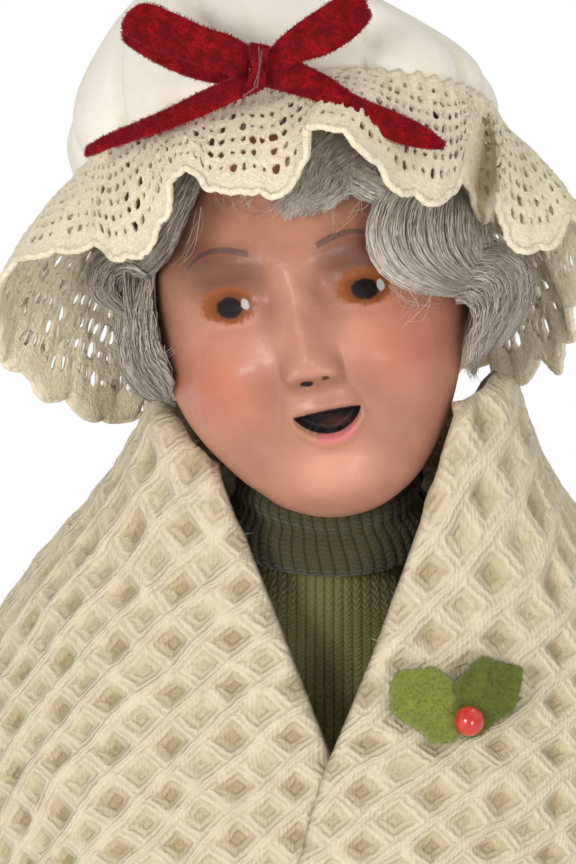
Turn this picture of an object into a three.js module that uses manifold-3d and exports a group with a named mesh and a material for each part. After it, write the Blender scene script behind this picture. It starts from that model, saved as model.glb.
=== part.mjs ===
// A standing cloth-and-clay doll of a grandmother in a mob cap and a waffle-weave shawl.
// Millimetres, +Z up. The doll faces -Y, and +X is on the viewer's right.
// The origin is the centre of the felt under the round board.
import * as THREE from 'three';
import Module from 'manifold-3d';
import { mergeVertices } from 'three/addons/utils/BufferGeometryUtils.js';

// Clearances
const seatGap = 0.3;
const clothGap = 0.5;

// Board and its felt
const boardRadius = 47;
const boardThickness = 8;
const boardBevel = 1.6;
const feltThickness = 1;
const feltInset = 3;

// Armature wires
const wireRadius = 0.9;
const wireSocketDepth = 5;

// Boots and legs
const footSpacing = 28;
const bootLength = 33;
const bootWidth = 14;
const soleThickness = 2;
const bootToeHeight = 9.5;
const bootShaftHeight = 21;
const bootShaftRadius = 6.6;
const heelBehindLeg = 9;
const legRadius = 5.6;
const legLength = 118;

// Wound body core
const coreHeight = 85;
const hipWidth = 40;
const hipDepth = 32;
const waistWidth = 36;
const waistDepth = 28;
const chestWidth = 42;
const chestDepth = 31;
const shoulderWidth = 40;
const shoulderDepth = 25;
const neckCoreRadius = 6.4;
const neckRise = 16.5;
const waistShare = 0.36;
const chestShare = 0.74;

// Sweater
const sweaterThickness = 1.3;
const neckTilt = 10;
const collarHeight = 7.6;
const collarThickness = 3.4;
const collarClearance = 2.3;
const hemTuck = 6;

// Skirt
const hemLift = 11;
const skirtHemWidth = 98;
const skirtHemDepth = 94;
const skirtThickness = 1.1;
const skirtFoldCount = 13;
const skirtFoldDepth = 2.2;
const waistbandHeight = 6;
const waistbandThickness = 1.6;

// Arms
const armRadius = 5.2;
const shoulderPadRadius = 7.35;
const shoulderRise = 9.7;
const shoulderRootAcross = 15;
const sleeveThickness = 1.3;
const upperArmDrop = 39;
const armSpread = 12;
const forearmReach = 35;
const forearmTurnIn = 20;
const forearmDrop = 13;
const elbowBend = 9;

// Hands
const wristRadius = 3.4;
const palmLength = 8.5;
const palmWidth = 9.4;
const palmThickness = 5;
const fingerLength = 9;
const fingerRadius = 1.25;
const thumbLength = 7.5;

// Shawl
const shawlThickness = 2.2;
const shawlRimWidth = 44;
const shawlRimDepth = 36;
const shawlRimBackRise = 7.5;
const shawlShoulderWidth = 83;
const shawlShoulderDepth = 47;
const shawlHemWidth = 117;
const shawlHemDepth = 76;
const shawlLength = 67;
const shawlRimRise = 22.5;
const neckOpening = 25.6;
const neckOpeningDepth = 31;
const panelOverlap = 9;
const shawlFoldDepth = 1.5;

// Holly trim
const leafLength = 9.4;
const leafWidth = 7.2;
const feltLeafThickness = 1;
const berryRadius = 1.95;
const pinRadius = 0.35;
const pinLength = 9;
const hollyAcross = 17.2;
const hollyRise = 3.4;

// Head and neck
const headWidth = 39.2;
const headDepth = 43;
const headHeight = 54;
const chinReach = 34;
const napeHeight = 17;
const headRoll = 9;
const headTilt = 10;
const neckRadius = 7.2;
const headForward = 2;
const headAside = 2;
const headRise = 33.2;
const noseLength = 4;
const faceAside = -1.9;
const faceLean = 4;
const eyeSpacing = 16.4;

// Hair
const hairGap = 0.55;
const fringeThickness = 3;
const leftLockThickness = 5.2;
const rightLockThickness = 6;
const backHairThickness = 3.6;
const thinHair = 0.6;
const hairTuck = 1.9;

// Cap
const bandWidth = 50;
const bandDepth = 50;
const bandRise = 17;
const bandSetback = 1;
const bandTilt = 20;
const crownWidth = 55;
const crownHeight = 29.5;
const gatherCount = 15;
const gatherDepth = 0.045;
const threadRadius = 0.45;
const laceThickness = 1;
const laceFrontReach = 17.6;
const laceSideReach = 23;
const laceFluteDepth = 3.4;
const laceFluteCount = 10;

// Velvet bow
const ribbonWidth = 6.35;
const ribbonThickness = 0.8;
const bowLoopLength = 16;
const bowTailLength = 21;
const bowLoopDepth = 3.4;
const bowHeight = 3.5;
const bowAside = -8;

// Colours
const skinColour = 0xbe8068;
const hairColour = 0x96958f;
const muslinColour = 0xeee8d7;
const laceColour = 0xe8dcbe;
const velvetColour = 0x8c0610;
const knitColour = 0x4b4b30;
const shawlColour = 0xe1d6b8;
const feltGreen = 0x788732;
const berryColour = 0xd74132;
const skirtColour = 0x5a1a1c;
const woodColour = 0x6b4a2e;
const leatherColour = 0x1c1a19;
const steelColour = 0x8f9295;
const paddingColour = 0xcfc7b4;

// Heights stacked from the underside of the felt
const boardBottom = feltThickness + seatGap;
const boardTop = boardBottom + boardThickness;
const soleBottom = boardTop + seatGap;
const bootBottom = soleBottom + soleThickness + seatGap;
const bootTop = bootBottom + bootShaftHeight;
const legTop = bootTop + seatGap + legLength;
const coreBottom = legTop + seatGap;
const shoulderLine = coreBottom + coreHeight;
const waistLine = coreBottom + coreHeight * waistShare;
const neckTop = shoulderLine + neckRise;
const skirtHem = boardTop + hemLift;

const radians = THREE.MathUtils.degToRad;
const roundSides = 20;
const limbSides = 10;
const wireSides = 6;

const wasm = await Module();
wasm.setup();

// Geometry helpers

function vector(x, y, z) {
  return new THREE.Vector3(x, y, z);
}

function smooth(value) {
  const held = Math.min(Math.max(value, 0), 1);
  return held * held * (3 - 2 * held);
}

function mix(from, to, share) {
  return from + (to - from) * share;
}

// A bell-shaped bump that is 1 at the centre
function bump(across, along, width, height) {
  return Math.exp(-((across / width) ** 2) - (along / height) ** 2);
}

function signedVolume(geometry) {
  const place = geometry.getAttribute('position');
  const corners = geometry.index.array;
  const a = vector(0, 0, 0);
  const b = vector(0, 0, 0);
  const c = vector(0, 0, 0);
  let total = 0;
  for (let i = 0; i < corners.length; i += 3) {
    a.fromBufferAttribute(place, corners[i]);
    b.fromBufferAttribute(place, corners[i + 1]);
    c.fromBufferAttribute(place, corners[i + 2]);
    total += a.dot(b.cross(c)) / 6;
  }
  return total;
}

// Closed mesh from points and triangles, with its faces turned outward
function closedMesh(points, corners) {
  const geometry = new THREE.BufferGeometry();
  const numbers = points.flatMap((p) => [p.x, p.y, p.z]);
  geometry.setAttribute('position', new THREE.Float32BufferAttribute(numbers, 3));
  geometry.setIndex(corners);
  if (signedVolume(geometry) < 0) {
    const turned = [];
    for (let i = 0; i < corners.length; i += 3) {
      turned.push(corners[i], corners[i + 2], corners[i + 1]);
    }
    geometry.setIndex(turned);
  }
  return geometry;
}

// Solid skinned over rings of equal count, with a fan to a tip at each end
function loftRings(rings, startTip, endTip) {
  const count = rings[0].length;
  const points = rings.flat();
  const corners = [];
  for (let ring = 0; ring + 1 < rings.length; ring += 1) {
    for (let side = 0; side < count; side += 1) {
      const next = (side + 1) % count;
      const a = ring * count + side;
      const b = ring * count + next;
      corners.push(a, b, b + count, a, b + count, a + count);
    }
  }
  const centre = (ring) => ring.reduce((sum, p) => sum.add(p), vector(0, 0, 0)).divideScalar(count);
  const last = (rings.length - 1) * count;
  points.push(startTip ?? centre(rings[0]), endTip ?? centre(rings[rings.length - 1]));
  for (let side = 0; side < count; side += 1) {
    const next = (side + 1) % count;
    corners.push(next, side, points.length - 2);
    corners.push(last + side, last + next, points.length - 1);
  }
  return closedMesh(points, corners);
}

// Thick sheet: pointAt(u, v) is its inner side, and the outer side lies a thickness along the normal
function thickSheet(pointAt, uSteps, vSteps, thickness, wraps) {
  const step = 0.002;
  const columns = wraps ? uSteps : uSteps + 1;
  const inner = [];
  const outer = [];
  for (let j = 0; j <= vSteps; j += 1) {
    for (let i = 0; i < columns; i += 1) {
      const u = i / uSteps;
      const v = j / vSteps;
      const uLow = wraps ? u - step : Math.max(u - step, 0);
      const uHigh = wraps ? u + step : Math.min(u + step, 1);
      const alongU = pointAt(uHigh, v).sub(pointAt(uLow, v));
      const alongV = pointAt(u, Math.min(v + step, 1)).sub(pointAt(u, Math.max(v - step, 0)));
      const normal = alongU.cross(alongV).normalize();
      inner.push(pointAt(u, v));
      outer.push(pointAt(u, v).addScaledVector(normal, thickness));
    }
  }
  const corners = [];
  const far = inner.length;
  const at = (i, j) => j * columns + (i % columns);
  const quad = (a, b, c, d) => corners.push(a, b, c, a, c, d);
  for (let j = 0; j < vSteps; j += 1) {
    for (let i = 0; i < uSteps; i += 1) {
      quad(at(i, j), at(i, j + 1), at(i + 1, j + 1), at(i + 1, j));
      quad(far + at(i, j), far + at(i + 1, j), far + at(i + 1, j + 1), far + at(i, j + 1));
    }
  }
  for (let i = 0; i < uSteps; i += 1) {
    quad(at(i, 0), at(i + 1, 0), far + at(i + 1, 0), far + at(i, 0));
    quad(at(i, vSteps), far + at(i, vSteps), far + at(i + 1, vSteps), at(i + 1, vSteps));
  }
  if (!wraps) {
    for (let j = 0; j < vSteps; j += 1) {
      quad(at(0, j), far + at(0, j), far + at(0, j + 1), at(0, j + 1));
      quad(at(uSteps, j), at(uSteps, j + 1), far + at(uSteps, j + 1), far + at(uSteps, j));
    }
  }
  return closedMesh([...inner, ...outer], corners);
}

function ellipseRing(centre, halfWidth, halfDepth, sides, tiltDegrees = 0) {
  const ring = [];
  for (let side = 0; side < sides; side += 1) {
    const angle = (side / sides) * 2 * Math.PI;
    const x = halfWidth * Math.cos(angle);
    const y = halfDepth * Math.sin(angle);
    ring.push(vector(centre.x + x, centre.y + y, centre.z + y * Math.tan(radians(tiltDegrees))));
  }
  return ring;
}

// Evenly spaced points on a smooth path
function pathPoints(points, steps) {
  return new THREE.CatmullRomCurve3(points).getSpacedPoints(steps);
}

// The same points with a straight run added before the first or after the last
function extended(points, before, after) {
  const last = points.length - 1;
  const first = points[0].clone().sub(points[1]).normalize();
  const final = points[last].clone().sub(points[last - 1]).normalize();
  const longer = [...points];
  if (before > 0) {
    longer.unshift(points[0].clone().addScaledVector(first, before));
  }
  if (after > 0) {
    longer.push(points[last].clone().addScaledVector(final, after));
  }
  return longer;
}

// Limb along a run of points, its radii spread evenly from end to end
function limb(points, radii, sides) {
  const last = points.length - 1;
  const rings = [];
  const normal = vector(0.31, 0.95, 0.02);
  points.forEach((centre, index) => {
    const before = points[Math.max(index - 1, 0)];
    const after = points[Math.min(index + 1, last)];
    const tangent = after.clone().sub(before).normalize();
    normal.addScaledVector(tangent, -normal.dot(tangent)).normalize();
    const binormal = tangent.clone().cross(normal);
    const place = (index / last) * (radii.length - 1);
    const low = Math.min(Math.floor(place), radii.length - 2);
    const radius = mix(radii[low], radii[low + 1], place - low);
    rings.push(Array.from({ length: sides }, (_, side) => {
      const angle = (side / sides) * 2 * Math.PI;
      const point = centre.clone().addScaledVector(normal, radius * Math.cos(angle));
      return point.addScaledVector(binormal, radius * Math.sin(angle));
    }));
  });
  return loftRings(rings);
}

function wire(points, radius) {
  return limb(points, [radius, radius], wireSides);
}

function uprightPin(radius, bottom, top, x, y, sides = limbSides) {
  const pin = new THREE.CylinderGeometry(radius, radius, top - bottom, sides);
  pin.rotateX(Math.PI / 2);
  pin.translate(x, y, (bottom + top) / 2);
  return pin;
}

// Solids for joining and cutting

function solidOf(geometry) {
  const bare = new THREE.BufferGeometry();
  bare.setAttribute('position', geometry.getAttribute('position').clone());
  if (geometry.index) {
    bare.setIndex(geometry.index.clone());
  }
  const merged = mergeVertices(bare, 1e-4);
  const vertProperties = new Float32Array(merged.getAttribute('position').array);
  const triVerts = new Uint32Array(merged.index.array);
  return new wasm.Manifold(new wasm.Mesh({ numProp: 3, vertProperties, triVerts }));
}

function geometryOf(solid) {
  const mesh = solid.getMesh();
  const geometry = new THREE.BufferGeometry();
  geometry.setAttribute('position', new THREE.BufferAttribute(new Float32Array(mesh.vertProperties), 3));
  geometry.setIndex(new THREE.BufferAttribute(new Uint32Array(mesh.triVerts), 1));
  return geometry;
}

function cut(geometry, ...tools) {
  const left = tools.reduce((solid, tool) => solid.subtract(solidOf(tool)), solidOf(geometry));
  return geometryOf(left);
}

function join(first, ...others) {
  const whole = others.reduce((solid, other) => solid.add(solidOf(other)), solidOf(first));
  return geometryOf(whole);
}

// Materials and nodes

function cloth(colour, roughness = 0.95) {
  return new THREE.MeshStandardMaterial({ color: colour, roughness, metalness: 0 });
}

const skin = new THREE.MeshStandardMaterial({ color: skinColour, roughness: 0.35, metalness: 0 });
const steel = new THREE.MeshStandardMaterial({ color: steelColour, roughness: 0.4, metalness: 1 });
const wood = new THREE.MeshStandardMaterial({ color: woodColour, roughness: 0.55, metalness: 0 });
const bootLeather = new THREE.MeshStandardMaterial({ color: leatherColour, roughness: 0.4, metalness: 0 });
const berryPaint = new THREE.MeshStandardMaterial({ color: berryColour, roughness: 0.2, metalness: 0 });

const doll = new THREE.Group();

function addNode(parent, name, geometry, material) {
  const mesh = new THREE.Mesh(geometry, material);
  mesh.name = name;
  parent.add(mesh);
  return mesh;
}

// Round board and felt

function boardProfile() {
  const bevel = Math.min(boardBevel, boardThickness / 3);
  return [
    new THREE.Vector2(0, boardBottom),
    new THREE.Vector2(boardRadius - bevel / 2, boardBottom),
    new THREE.Vector2(boardRadius, boardBottom + bevel / 2),
    new THREE.Vector2(boardRadius, boardTop - bevel),
    new THREE.Vector2(boardRadius - bevel, boardTop),
    new THREE.Vector2(0, boardTop),
  ];
}

function addBase() {
  const felt = uprightPin(boardRadius - feltInset, 0, feltThickness, 0, 0, 2 * roundSides);
  addNode(doll, 'base_felt', felt, cloth(feltGreen));
  const board = new THREE.LatheGeometry(boardProfile(), 2 * roundSides);
  board.rotateX(Math.PI / 2);
  const socketBottom = boardTop - Math.min(wireSocketDepth, boardThickness - 1) - seatGap;
  const sockets = [-1, 1].map((side) => uprightPin(
    wireRadius + seatGap, socketBottom, boardTop + 1, side * footSpacing / 2, 0,
  ));
  addNode(doll, 'base_board', cut(board, ...sockets), wood);
}

// Boots, legs and leg wires

function footOutline(length, width) {
  const heel = width * 0.38;
  const ball = width / 2;
  const outline = new THREE.Shape();
  outline.moveTo(-heel, heelBehindLeg - heel);
  outline.bezierCurveTo(-heel, heelBehindLeg, heel, heelBehindLeg, heel, heelBehindLeg - heel);
  outline.lineTo(ball, heelBehindLeg - length + ball * 1.4);
  outline.bezierCurveTo(
    ball, heelBehindLeg - length, -ball, heelBehindLeg - length, -ball, heelBehindLeg - length + ball * 1.4,
  );
  outline.closePath();
  return outline;
}

function bootUpper() {
  const rings = [];
  const levels = 4;
  for (let level = 0; level <= levels; level += 1) {
    const share = level / levels;
    const shrink = 1 - 0.42 * share * share;
    const points = footOutline(bootLength - 1.4, bootWidth - 1).getPoints(6);
    points.pop();
    rings.push(points.map((p) => vector(
      p.x * shrink, mix(p.y, p.y * 0.72, share * share), bootBottom + bootToeHeight * share,
    )));
  }
  const foot = loftRings(rings);
  const shaft = uprightPin(bootShaftRadius, bootBottom + bootToeHeight * 0.5, bootTop, 0, 0);
  return join(foot, shaft);
}

function addLeg(side, word) {
  const x = side * footSpacing / 2;
  const bore = uprightPin(wireRadius + seatGap, 0, legTop + 1, 0, 0);
  const leg = new THREE.Group();
  leg.position.set(x, 0, 0);
  doll.add(leg);
  const sole = new THREE.ExtrudeGeometry(footOutline(bootLength, bootWidth), {
    depth: soleThickness, bevelEnabled: false, curveSegments: 6,
  });
  sole.translate(0, 0, soleBottom);
  addNode(leg, `${word}_boot_sole`, cut(sole, bore), bootLeather);
  addNode(leg, `${word}_boot`, cut(bootUpper(), bore), bootLeather);
  const stocking = loftRings([
    ellipseRing(vector(0, 0, bootTop + seatGap), legRadius * 0.8, legRadius * 0.8, limbSides),
    ellipseRing(vector(0, 0, bootTop + legLength * 0.3), legRadius, legRadius, limbSides),
    ellipseRing(vector(0, 0, bootTop + legLength * 0.45), legRadius * 0.9, legRadius * 0.9, limbSides),
    ellipseRing(vector(0, 0, legTop), legRadius * 1.15, legRadius * 1.15, limbSides),
  ]);
  addNode(leg, `${word}_leg`, cut(stocking, bore), cloth(paddingColour));
  const wireBottom = boardTop - Math.min(wireSocketDepth, boardThickness - 1);
  const wire = uprightPin(wireRadius, wireBottom, legWireTop, 0, 0, wireSides);
  addNode(leg, `${word}_leg_wire`, wire, steel);
}

// Wound body core: rings from the hips to the neck, grown outward by a margin

const neckCentreY = -4;
const shoulderCentreY = -1;
const collarSeat = shoulderLine + neckRise * 0.86;
const legWireTop = coreBottom + coreHeight * 0.2;

function bodySections(margin) {
  const chestLine = coreBottom + coreHeight * chestShare;
  const loinLine = mix(coreBottom, waistLine, 0.5);
  const ribLine = mix(waistLine, chestLine, 0.5);
  return [
    [coreBottom, 0, hipWidth, hipDepth, 0],
    [loinLine, 0, mix(hipWidth, waistWidth, 0.4), mix(hipDepth, waistDepth, 0.4), 0],
    [waistLine, 0, waistWidth, waistDepth, 0],
    [ribLine, -0.5, mix(waistWidth, chestWidth, 0.6), mix(waistDepth, chestDepth, 0.6), 0],
    [chestLine, -1, chestWidth, chestDepth, 0],
    [shoulderLine - 4, shoulderCentreY, shoulderWidth, shoulderDepth, 2],
    [shoulderLine + neckRise * 0.2, -2, shoulderWidth * 0.72, shoulderDepth * 0.85, neckTilt * 0.5],
    [shoulderLine + neckRise * 0.52, -3, neckCoreRadius * 3.1, neckCoreRadius * 2.8, neckTilt],
    [collarSeat, neckCentreY + 0.4, neckCoreRadius * 2.4, neckCoreRadius * 2.4, neckTilt],
  ].map(([z, y, width, depth, tilt]) => ({
    centre: vector(0, y, z), halfWidth: width / 2 + margin, halfDepth: depth / 2 + margin, tilt,
  }));
}

function bodyRings(sections, sides) {
  return sections.map((s) => ellipseRing(s.centre, s.halfWidth, s.halfDepth, sides, s.tilt));
}

const shoulderAcross = shoulderWidth / 2 + armRadius + 3;
const elbowPoint = (side) => vector(side * (shoulderAcross + armSpread), -1, shoulderLine - upperArmDrop);

const armSteps = 7;

// The arm starts beside the neck, turns down over the shoulder and comes down straight into the elbow,
// so that the sleeve ends there in a level ring
function upperArmPoints(side) {
  const root = vector(side * shoulderRootAcross, 0, shoulderLine + shoulderRise);
  const shoulder = vector(side * shoulderAcross, 0, shoulderLine + shoulderRise * 0.8);
  const elbow = elbowPoint(side);
  const bend = vector(elbow.x, elbow.y, elbow.z + elbowBend);
  const middle = vector(
    mix(shoulder.x, elbow.x, 0.75), mix(shoulder.y, elbow.y, 0.5), mix(shoulder.z, elbow.z, 0.42),
  );
  return [...pathPoints([root, shoulder, middle, bend], armSteps), elbow];
}

// One wire runs from elbow to elbow through the shoulders, in a bore a little wider than itself
function shoulderWirePoints() {
  const left = upperArmPoints(-1).reverse();
  const right = upperArmPoints(1);
  return [...left, vector(0, shoulderCentreY, shoulderLine - 1), ...right];
}

function shoulderBore() {
  return wire(extended(shoulderWirePoints(), 1, 1), wireRadius + seatGap);
}

// The bore for the neck wire is wider, because the wire leans with the head
const neckBoreRadius = wireRadius + seatGap + 0.6;
const neckPivot = vector(0, neckCentreY, neckTop - 2);
const neckWireBottom = neckPivot.z - 1;
const neckWireTop = neckPivot.z + headRise - 8;

function addBody() {
  const neckEnd = ellipseRing(vector(0, neckCentreY, neckTop), neckCoreRadius, neckCoreRadius, roundSides);
  const core = loftRings([...bodyRings(bodySections(0), roundSides), neckEnd]);
  const legBores = [-1, 1].map((side) => uprightPin(
    wireRadius + seatGap, coreBottom - 1, legWireTop + seatGap, side * footSpacing / 2, 0,
  ));
  const neckBore = uprightPin(neckBoreRadius, neckWireBottom - seatGap, neckTop + 1, 0, neckCentreY);
  addNode(doll, 'body_core', cut(core, shoulderBore(), neckBore, ...legBores), cloth(paddingColour));
  addNode(doll, 'shoulder_wire', wire(shoulderWirePoints(), wireRadius), steel);
}

// Sweater: body shell, folded collar and sleeves

const sweaterHem = waistLine - hemTuck;

function sweaterSections(margin) {
  const sections = bodySections(margin);
  const first = sections.findIndex((s) => s.centre.z > sweaterHem);
  const below = sections[first - 1];
  const above = sections[first];
  const share = (sweaterHem - below.centre.z) / (above.centre.z - below.centre.z);
  const hem = {
    centre: vector(0, 0, sweaterHem),
    halfWidth: mix(below.halfWidth, above.halfWidth, share),
    halfDepth: mix(below.halfDepth, above.halfDepth, share),
    tilt: 0,
  };
  return [hem, ...sections.slice(first)];
}

function shellOfRings(outerRings, innerRings) {
  const rings = [...outerRings, ...[...innerRings].reverse()];
  const count = rings[0].length;
  const corners = [];
  for (let ring = 0; ring < rings.length; ring += 1) {
    const next = ((ring + 1) % rings.length) * count;
    for (let side = 0; side < count; side += 1) {
      const a = ring * count + side;
      const b = ring * count + ((side + 1) % count);
      const c = next + ((side + 1) % count);
      const d = next + side;
      corners.push(a, b, c, a, c, d);
    }
  }
  return closedMesh(rings.flat(), corners);
}

function addSweater() {
  const inner = bodyRings(sweaterSections(seatGap), roundSides);
  const outer = bodyRings(sweaterSections(seatGap + sweaterThickness), roundSides);
  const shell = cut(shellOfRings(outer, inner), shoulderBore());
  addNode(doll, 'sweater_body', shell, cloth(knitColour));

  const bore = neckRadius + collarClearance;
  const outside = bore + collarThickness;
  const profile = [
    new THREE.Vector2(bore, 0),
    new THREE.Vector2(outside - 1, 0),
    new THREE.Vector2(outside + 0.6, 0.8),
    new THREE.Vector2(outside + 0.4, collarHeight * 0.35),
    new THREE.Vector2(outside, collarHeight * 0.75),
    new THREE.Vector2(outside - 1, collarHeight),
    new THREE.Vector2(bore + 0.8, collarHeight),
    new THREE.Vector2(bore, collarHeight - 0.9),
    new THREE.Vector2(bore, 0),
  ];
  const collar = new THREE.LatheGeometry(profile, roundSides);
  collar.rotateX(Math.PI / 2);
  const folded = addNode(doll, 'sweater_collar', collar, cloth(knitColour));
  folded.position.set(0, neckCentreY + 0.4, collarSeat + 2 * seatGap);
  folded.rotation.x = radians(neckTilt);
}

function addUpperArm(side, word) {
  const points = upperArmPoints(side);
  const torso = loftRings(bodyRings(bodySections(2 * seatGap + sweaterThickness), roundSides));
  const wrap = limb(points, [shoulderPadRadius, shoulderPadRadius, armRadius, armRadius], limbSides);
  addNode(doll, `${word}_arm_wrap`, cut(wrap, shoulderBore(), torso), cloth(paddingColour));
  const insideRadii = [shoulderPadRadius, shoulderPadRadius, armRadius, armRadius].map((r) => r + seatGap);
  const outsideRadii = insideRadii.map((r) => r + sleeveThickness);
  const sleeve = limb(points, outsideRadii, limbSides);
  const hollow = limb(extended(points, 1, 1), insideRadii, limbSides);
  addNode(doll, `${word}_upper_sleeve`, cut(sleeve, hollow, torso), cloth(knitColour));
}

// The forearm hangs straight down from the elbow, then bends forward and inward
const forearmStart = (side) => elbowPoint(side).add(vector(0, 0, -seatGap));

function wristPoint(side) {
  const elbow = elbowPoint(side);
  return elbow.add(vector(-side * forearmTurnIn, -forearmReach, -elbowBend - forearmDrop));
}

const forearmSteps = 7;

function forearmPoints(side) {
  const start = forearmStart(side);
  const bend = start.clone().add(vector(0, 0, -elbowBend * 0.5));
  const wrist = wristPoint(side);
  const after = start.clone().lerp(wrist, 0.2).add(vector(0, 0, -elbowBend * 0.62));
  const middle = bend.clone().lerp(wrist, 0.6);
  return [start, ...pathPoints([bend, after, middle, wrist], forearmSteps)];
}

function wristDirection(side) {
  const points = forearmPoints(side);
  return points.at(-1).clone().sub(points.at(-2)).normalize();
}

const wristOverlap = 3.6;

function addForearm(side, word) {
  const points = forearmPoints(side);
  const along = wristDirection(side);
  const wireEnd = points.at(-1).clone().addScaledVector(along, wireSocketDepth);
  const wirePoints = [...points, wireEnd];
  addNode(doll, `${word}_forearm_wire`, wire(wirePoints, wireRadius), steel);

  const bore = wire(extended(wirePoints, 1, 0), wireRadius + seatGap);
  const wrapEnd = points.at(-1).clone().addScaledVector(along, -wristOverlap - seatGap);
  const wrapPoints = [...points.slice(0, -1), wrapEnd];
  const wrap = limb(wrapPoints, [armRadius, armRadius, armRadius * 0.85], limbSides);
  addNode(doll, `${word}_forearm_wrap`, cut(wrap, bore), cloth(paddingColour));

  const inside = armRadius + seatGap;
  const outside = inside + sleeveThickness;
  const sleeve = limb(points, [outside, outside, outside * 0.88], limbSides);
  const hollow = limb(extended(points, 1, 1), [inside, inside, inside * 0.88], limbSides);
  addNode(doll, `${word}_lower_sleeve`, cut(sleeve, hollow), cloth(knitColour));
}

// Hand in its own frame: fingers along +X, back of the hand up, thumb inward
function handSolid(side) {
  const palm = new THREE.SphereGeometry(1, limbSides, 6);
  palm.scale(palmLength / 2 + 1.2, palmWidth / 2, palmThickness / 2);
  palm.translate(palmLength / 2, 0, 0);
  const wrist = new THREE.CylinderGeometry(wristRadius, wristRadius, wristOverlap + 2.5, limbSides);
  wrist.rotateZ(Math.PI / 2);
  wrist.translate((2.5 - wristOverlap) / 2, 0, 0);
  const digits = [-1.5, -0.5, 0.5, 1.5].map((place) => {
    const y = place * palmWidth * 0.235;
    const reach = fingerLength * (1 - 0.1 * Math.abs(place - 0.3));
    return limb(
      [
        vector(palmLength - 3, y * 0.9, 0.2),
        vector(palmLength + reach * 0.45, y, -0.2),
        vector(palmLength + reach, y * 0.95, -reach * 0.22),
      ],
      [fingerRadius, fingerRadius, fingerRadius * 0.6], 6,
    );
  });
  const thumb = limb(
    [
      vector(palmLength * 0.25, -side * palmWidth * 0.25, -0.4),
      vector(palmLength * 0.55, -side * palmWidth * 0.62, -1),
      vector(palmLength * 0.55 + thumbLength * 0.55, -side * palmWidth * 0.68, -1.6),
    ],
    [fingerRadius * 1.2, fingerRadius * 1.15, fingerRadius * 0.7], 6,
  );
  const bore = new THREE.CylinderGeometry(
    wireRadius + seatGap, wireRadius + seatGap, wireSocketDepth + wristOverlap + 1 + seatGap, wireSides,
  );
  bore.rotateZ(Math.PI / 2);
  bore.translate((wireSocketDepth + seatGap - wristOverlap - 1) / 2, 0, 0);
  return cut(join(palm, wrist, thumb, ...digits), bore);
}

function addHand(side, word) {
  const along = wristDirection(side);
  const across = vector(0, 0, 1).cross(along).normalize();
  const above = along.clone().cross(across);
  const frame = new THREE.Matrix4().makeBasis(along, across, above);
  const hand = addNode(doll, `${word}_hand`, handSolid(side), skin);
  hand.quaternion.setFromRotationMatrix(frame);
  hand.position.copy(wristPoint(side));
}

// Skirt, its waistband and the padding under it

const skirtTop = waistLine - waistbandHeight * 0.35;
const bandInner = seatGap * 2 + sweaterThickness;

function skirtSize(share) {
  const flare = share ** 0.82;
  return {
    halfWidth: mix(waistWidth / 2 + bandInner + skirtThickness, skirtHemWidth / 2 - skirtFoldDepth, flare),
    halfDepth: mix(waistDepth / 2 + bandInner + skirtThickness, skirtHemDepth / 2 - skirtFoldDepth, flare),
  };
}

function skirtPoint(u, v) {
  const angle = -2 * Math.PI * u;
  const size = skirtSize(v);
  const wave = Math.cos(skirtFoldCount * angle + 0.8 * Math.sin(angle));
  const fold = skirtFoldDepth * (0.12 + 0.88 * v) * wave;
  const x = (size.halfWidth + fold) * Math.cos(angle);
  const y = (size.halfDepth + fold) * Math.sin(angle);
  return vector(x, y, mix(skirtTop - seatGap - skirtThickness, skirtHem, v));
}

function addSkirt() {
  const skirt = thickSheet(skirtPoint, 4 * skirtFoldCount, 5, skirtThickness, true);
  addNode(doll, 'skirt', skirt, cloth(skirtColour));

  const inside = bandInner + 0.7;
  const outside = inside + waistbandThickness;
  const bandRing = (z, margin) => ellipseRing(
    vector(0, 0, z), waistWidth / 2 + margin, waistDepth / 2 + margin, roundSides,
  );
  const levels = [skirtTop, skirtTop + waistbandHeight / 2, skirtTop + waistbandHeight];
  const waistband = shellOfRings(
    levels.map((z, level) => bandRing(z, level === 1 ? outside + 0.3 : outside)),
    levels.map((z) => bandRing(z, inside)),
  );
  addNode(doll, 'skirt_waistband', waistband, cloth(skirtColour));

  const paddingTop = coreBottom - seatGap;
  const paddingBottom = skirtHem + 8;
  const levelCount = 5;
  const rings = [];
  for (let level = 0; level <= levelCount; level += 1) {
    const z = mix(paddingTop, paddingBottom, level / levelCount);
    const size = skirtSize((skirtTop - z) / (skirtTop - skirtHem));
    const inset = skirtFoldDepth + clothGap;
    rings.push(ellipseRing(vector(0, 0, z), size.halfWidth - inset, size.halfDepth - inset, roundSides));
  }
  const legBores = [-1, 1].map((side) => uprightPin(
    legRadius * 1.15 + clothGap, 0, paddingTop + 1, side * footSpacing / 2, 0,
  ));
  addNode(doll, 'skirt_padding', cut(loftRings(rings), ...legBores), cloth(paddingColour));
}

// Shawl: one cloth wound round the shoulders, its right panel lapping over the left one

const shawlRimFront = shoulderLine + shawlRimRise;
const shawlHem = shawlRimFront - shawlLength;
const openingShare = neckOpeningDepth / shawlLength;
const shawlCentreY = -1;
const shawlArmWidth = mix(shawlShoulderWidth, shawlHemWidth, 0.66);
const shawlArmDepth = mix(shawlShoulderDepth, shawlHemDepth, 0.55);
const shawlSizes = new THREE.CatmullRomCurve3([
  vector(shawlRimWidth / 2, shawlRimDepth / 2, 0),
  vector(shawlShoulderWidth / 2, shawlShoulderDepth / 2, 0.28),
  vector(shawlArmWidth / 2, shawlArmDepth / 2, 0.62),
  vector(shawlHemWidth / 2, shawlHemDepth / 2, 1),
]);

function shawlSize(v) {
  const held = Math.min(Math.max(v, 0), 1);
  let low = 0;
  let high = 1;
  for (let turn = 0; turn < 24; turn += 1) {
    const middle = (low + high) / 2;
    if (shawlSizes.getPoint(middle).z < held) {
      low = middle;
    } else {
      high = middle;
    }
  }
  return shawlSizes.getPoint((low + high) / 2);
}

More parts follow.
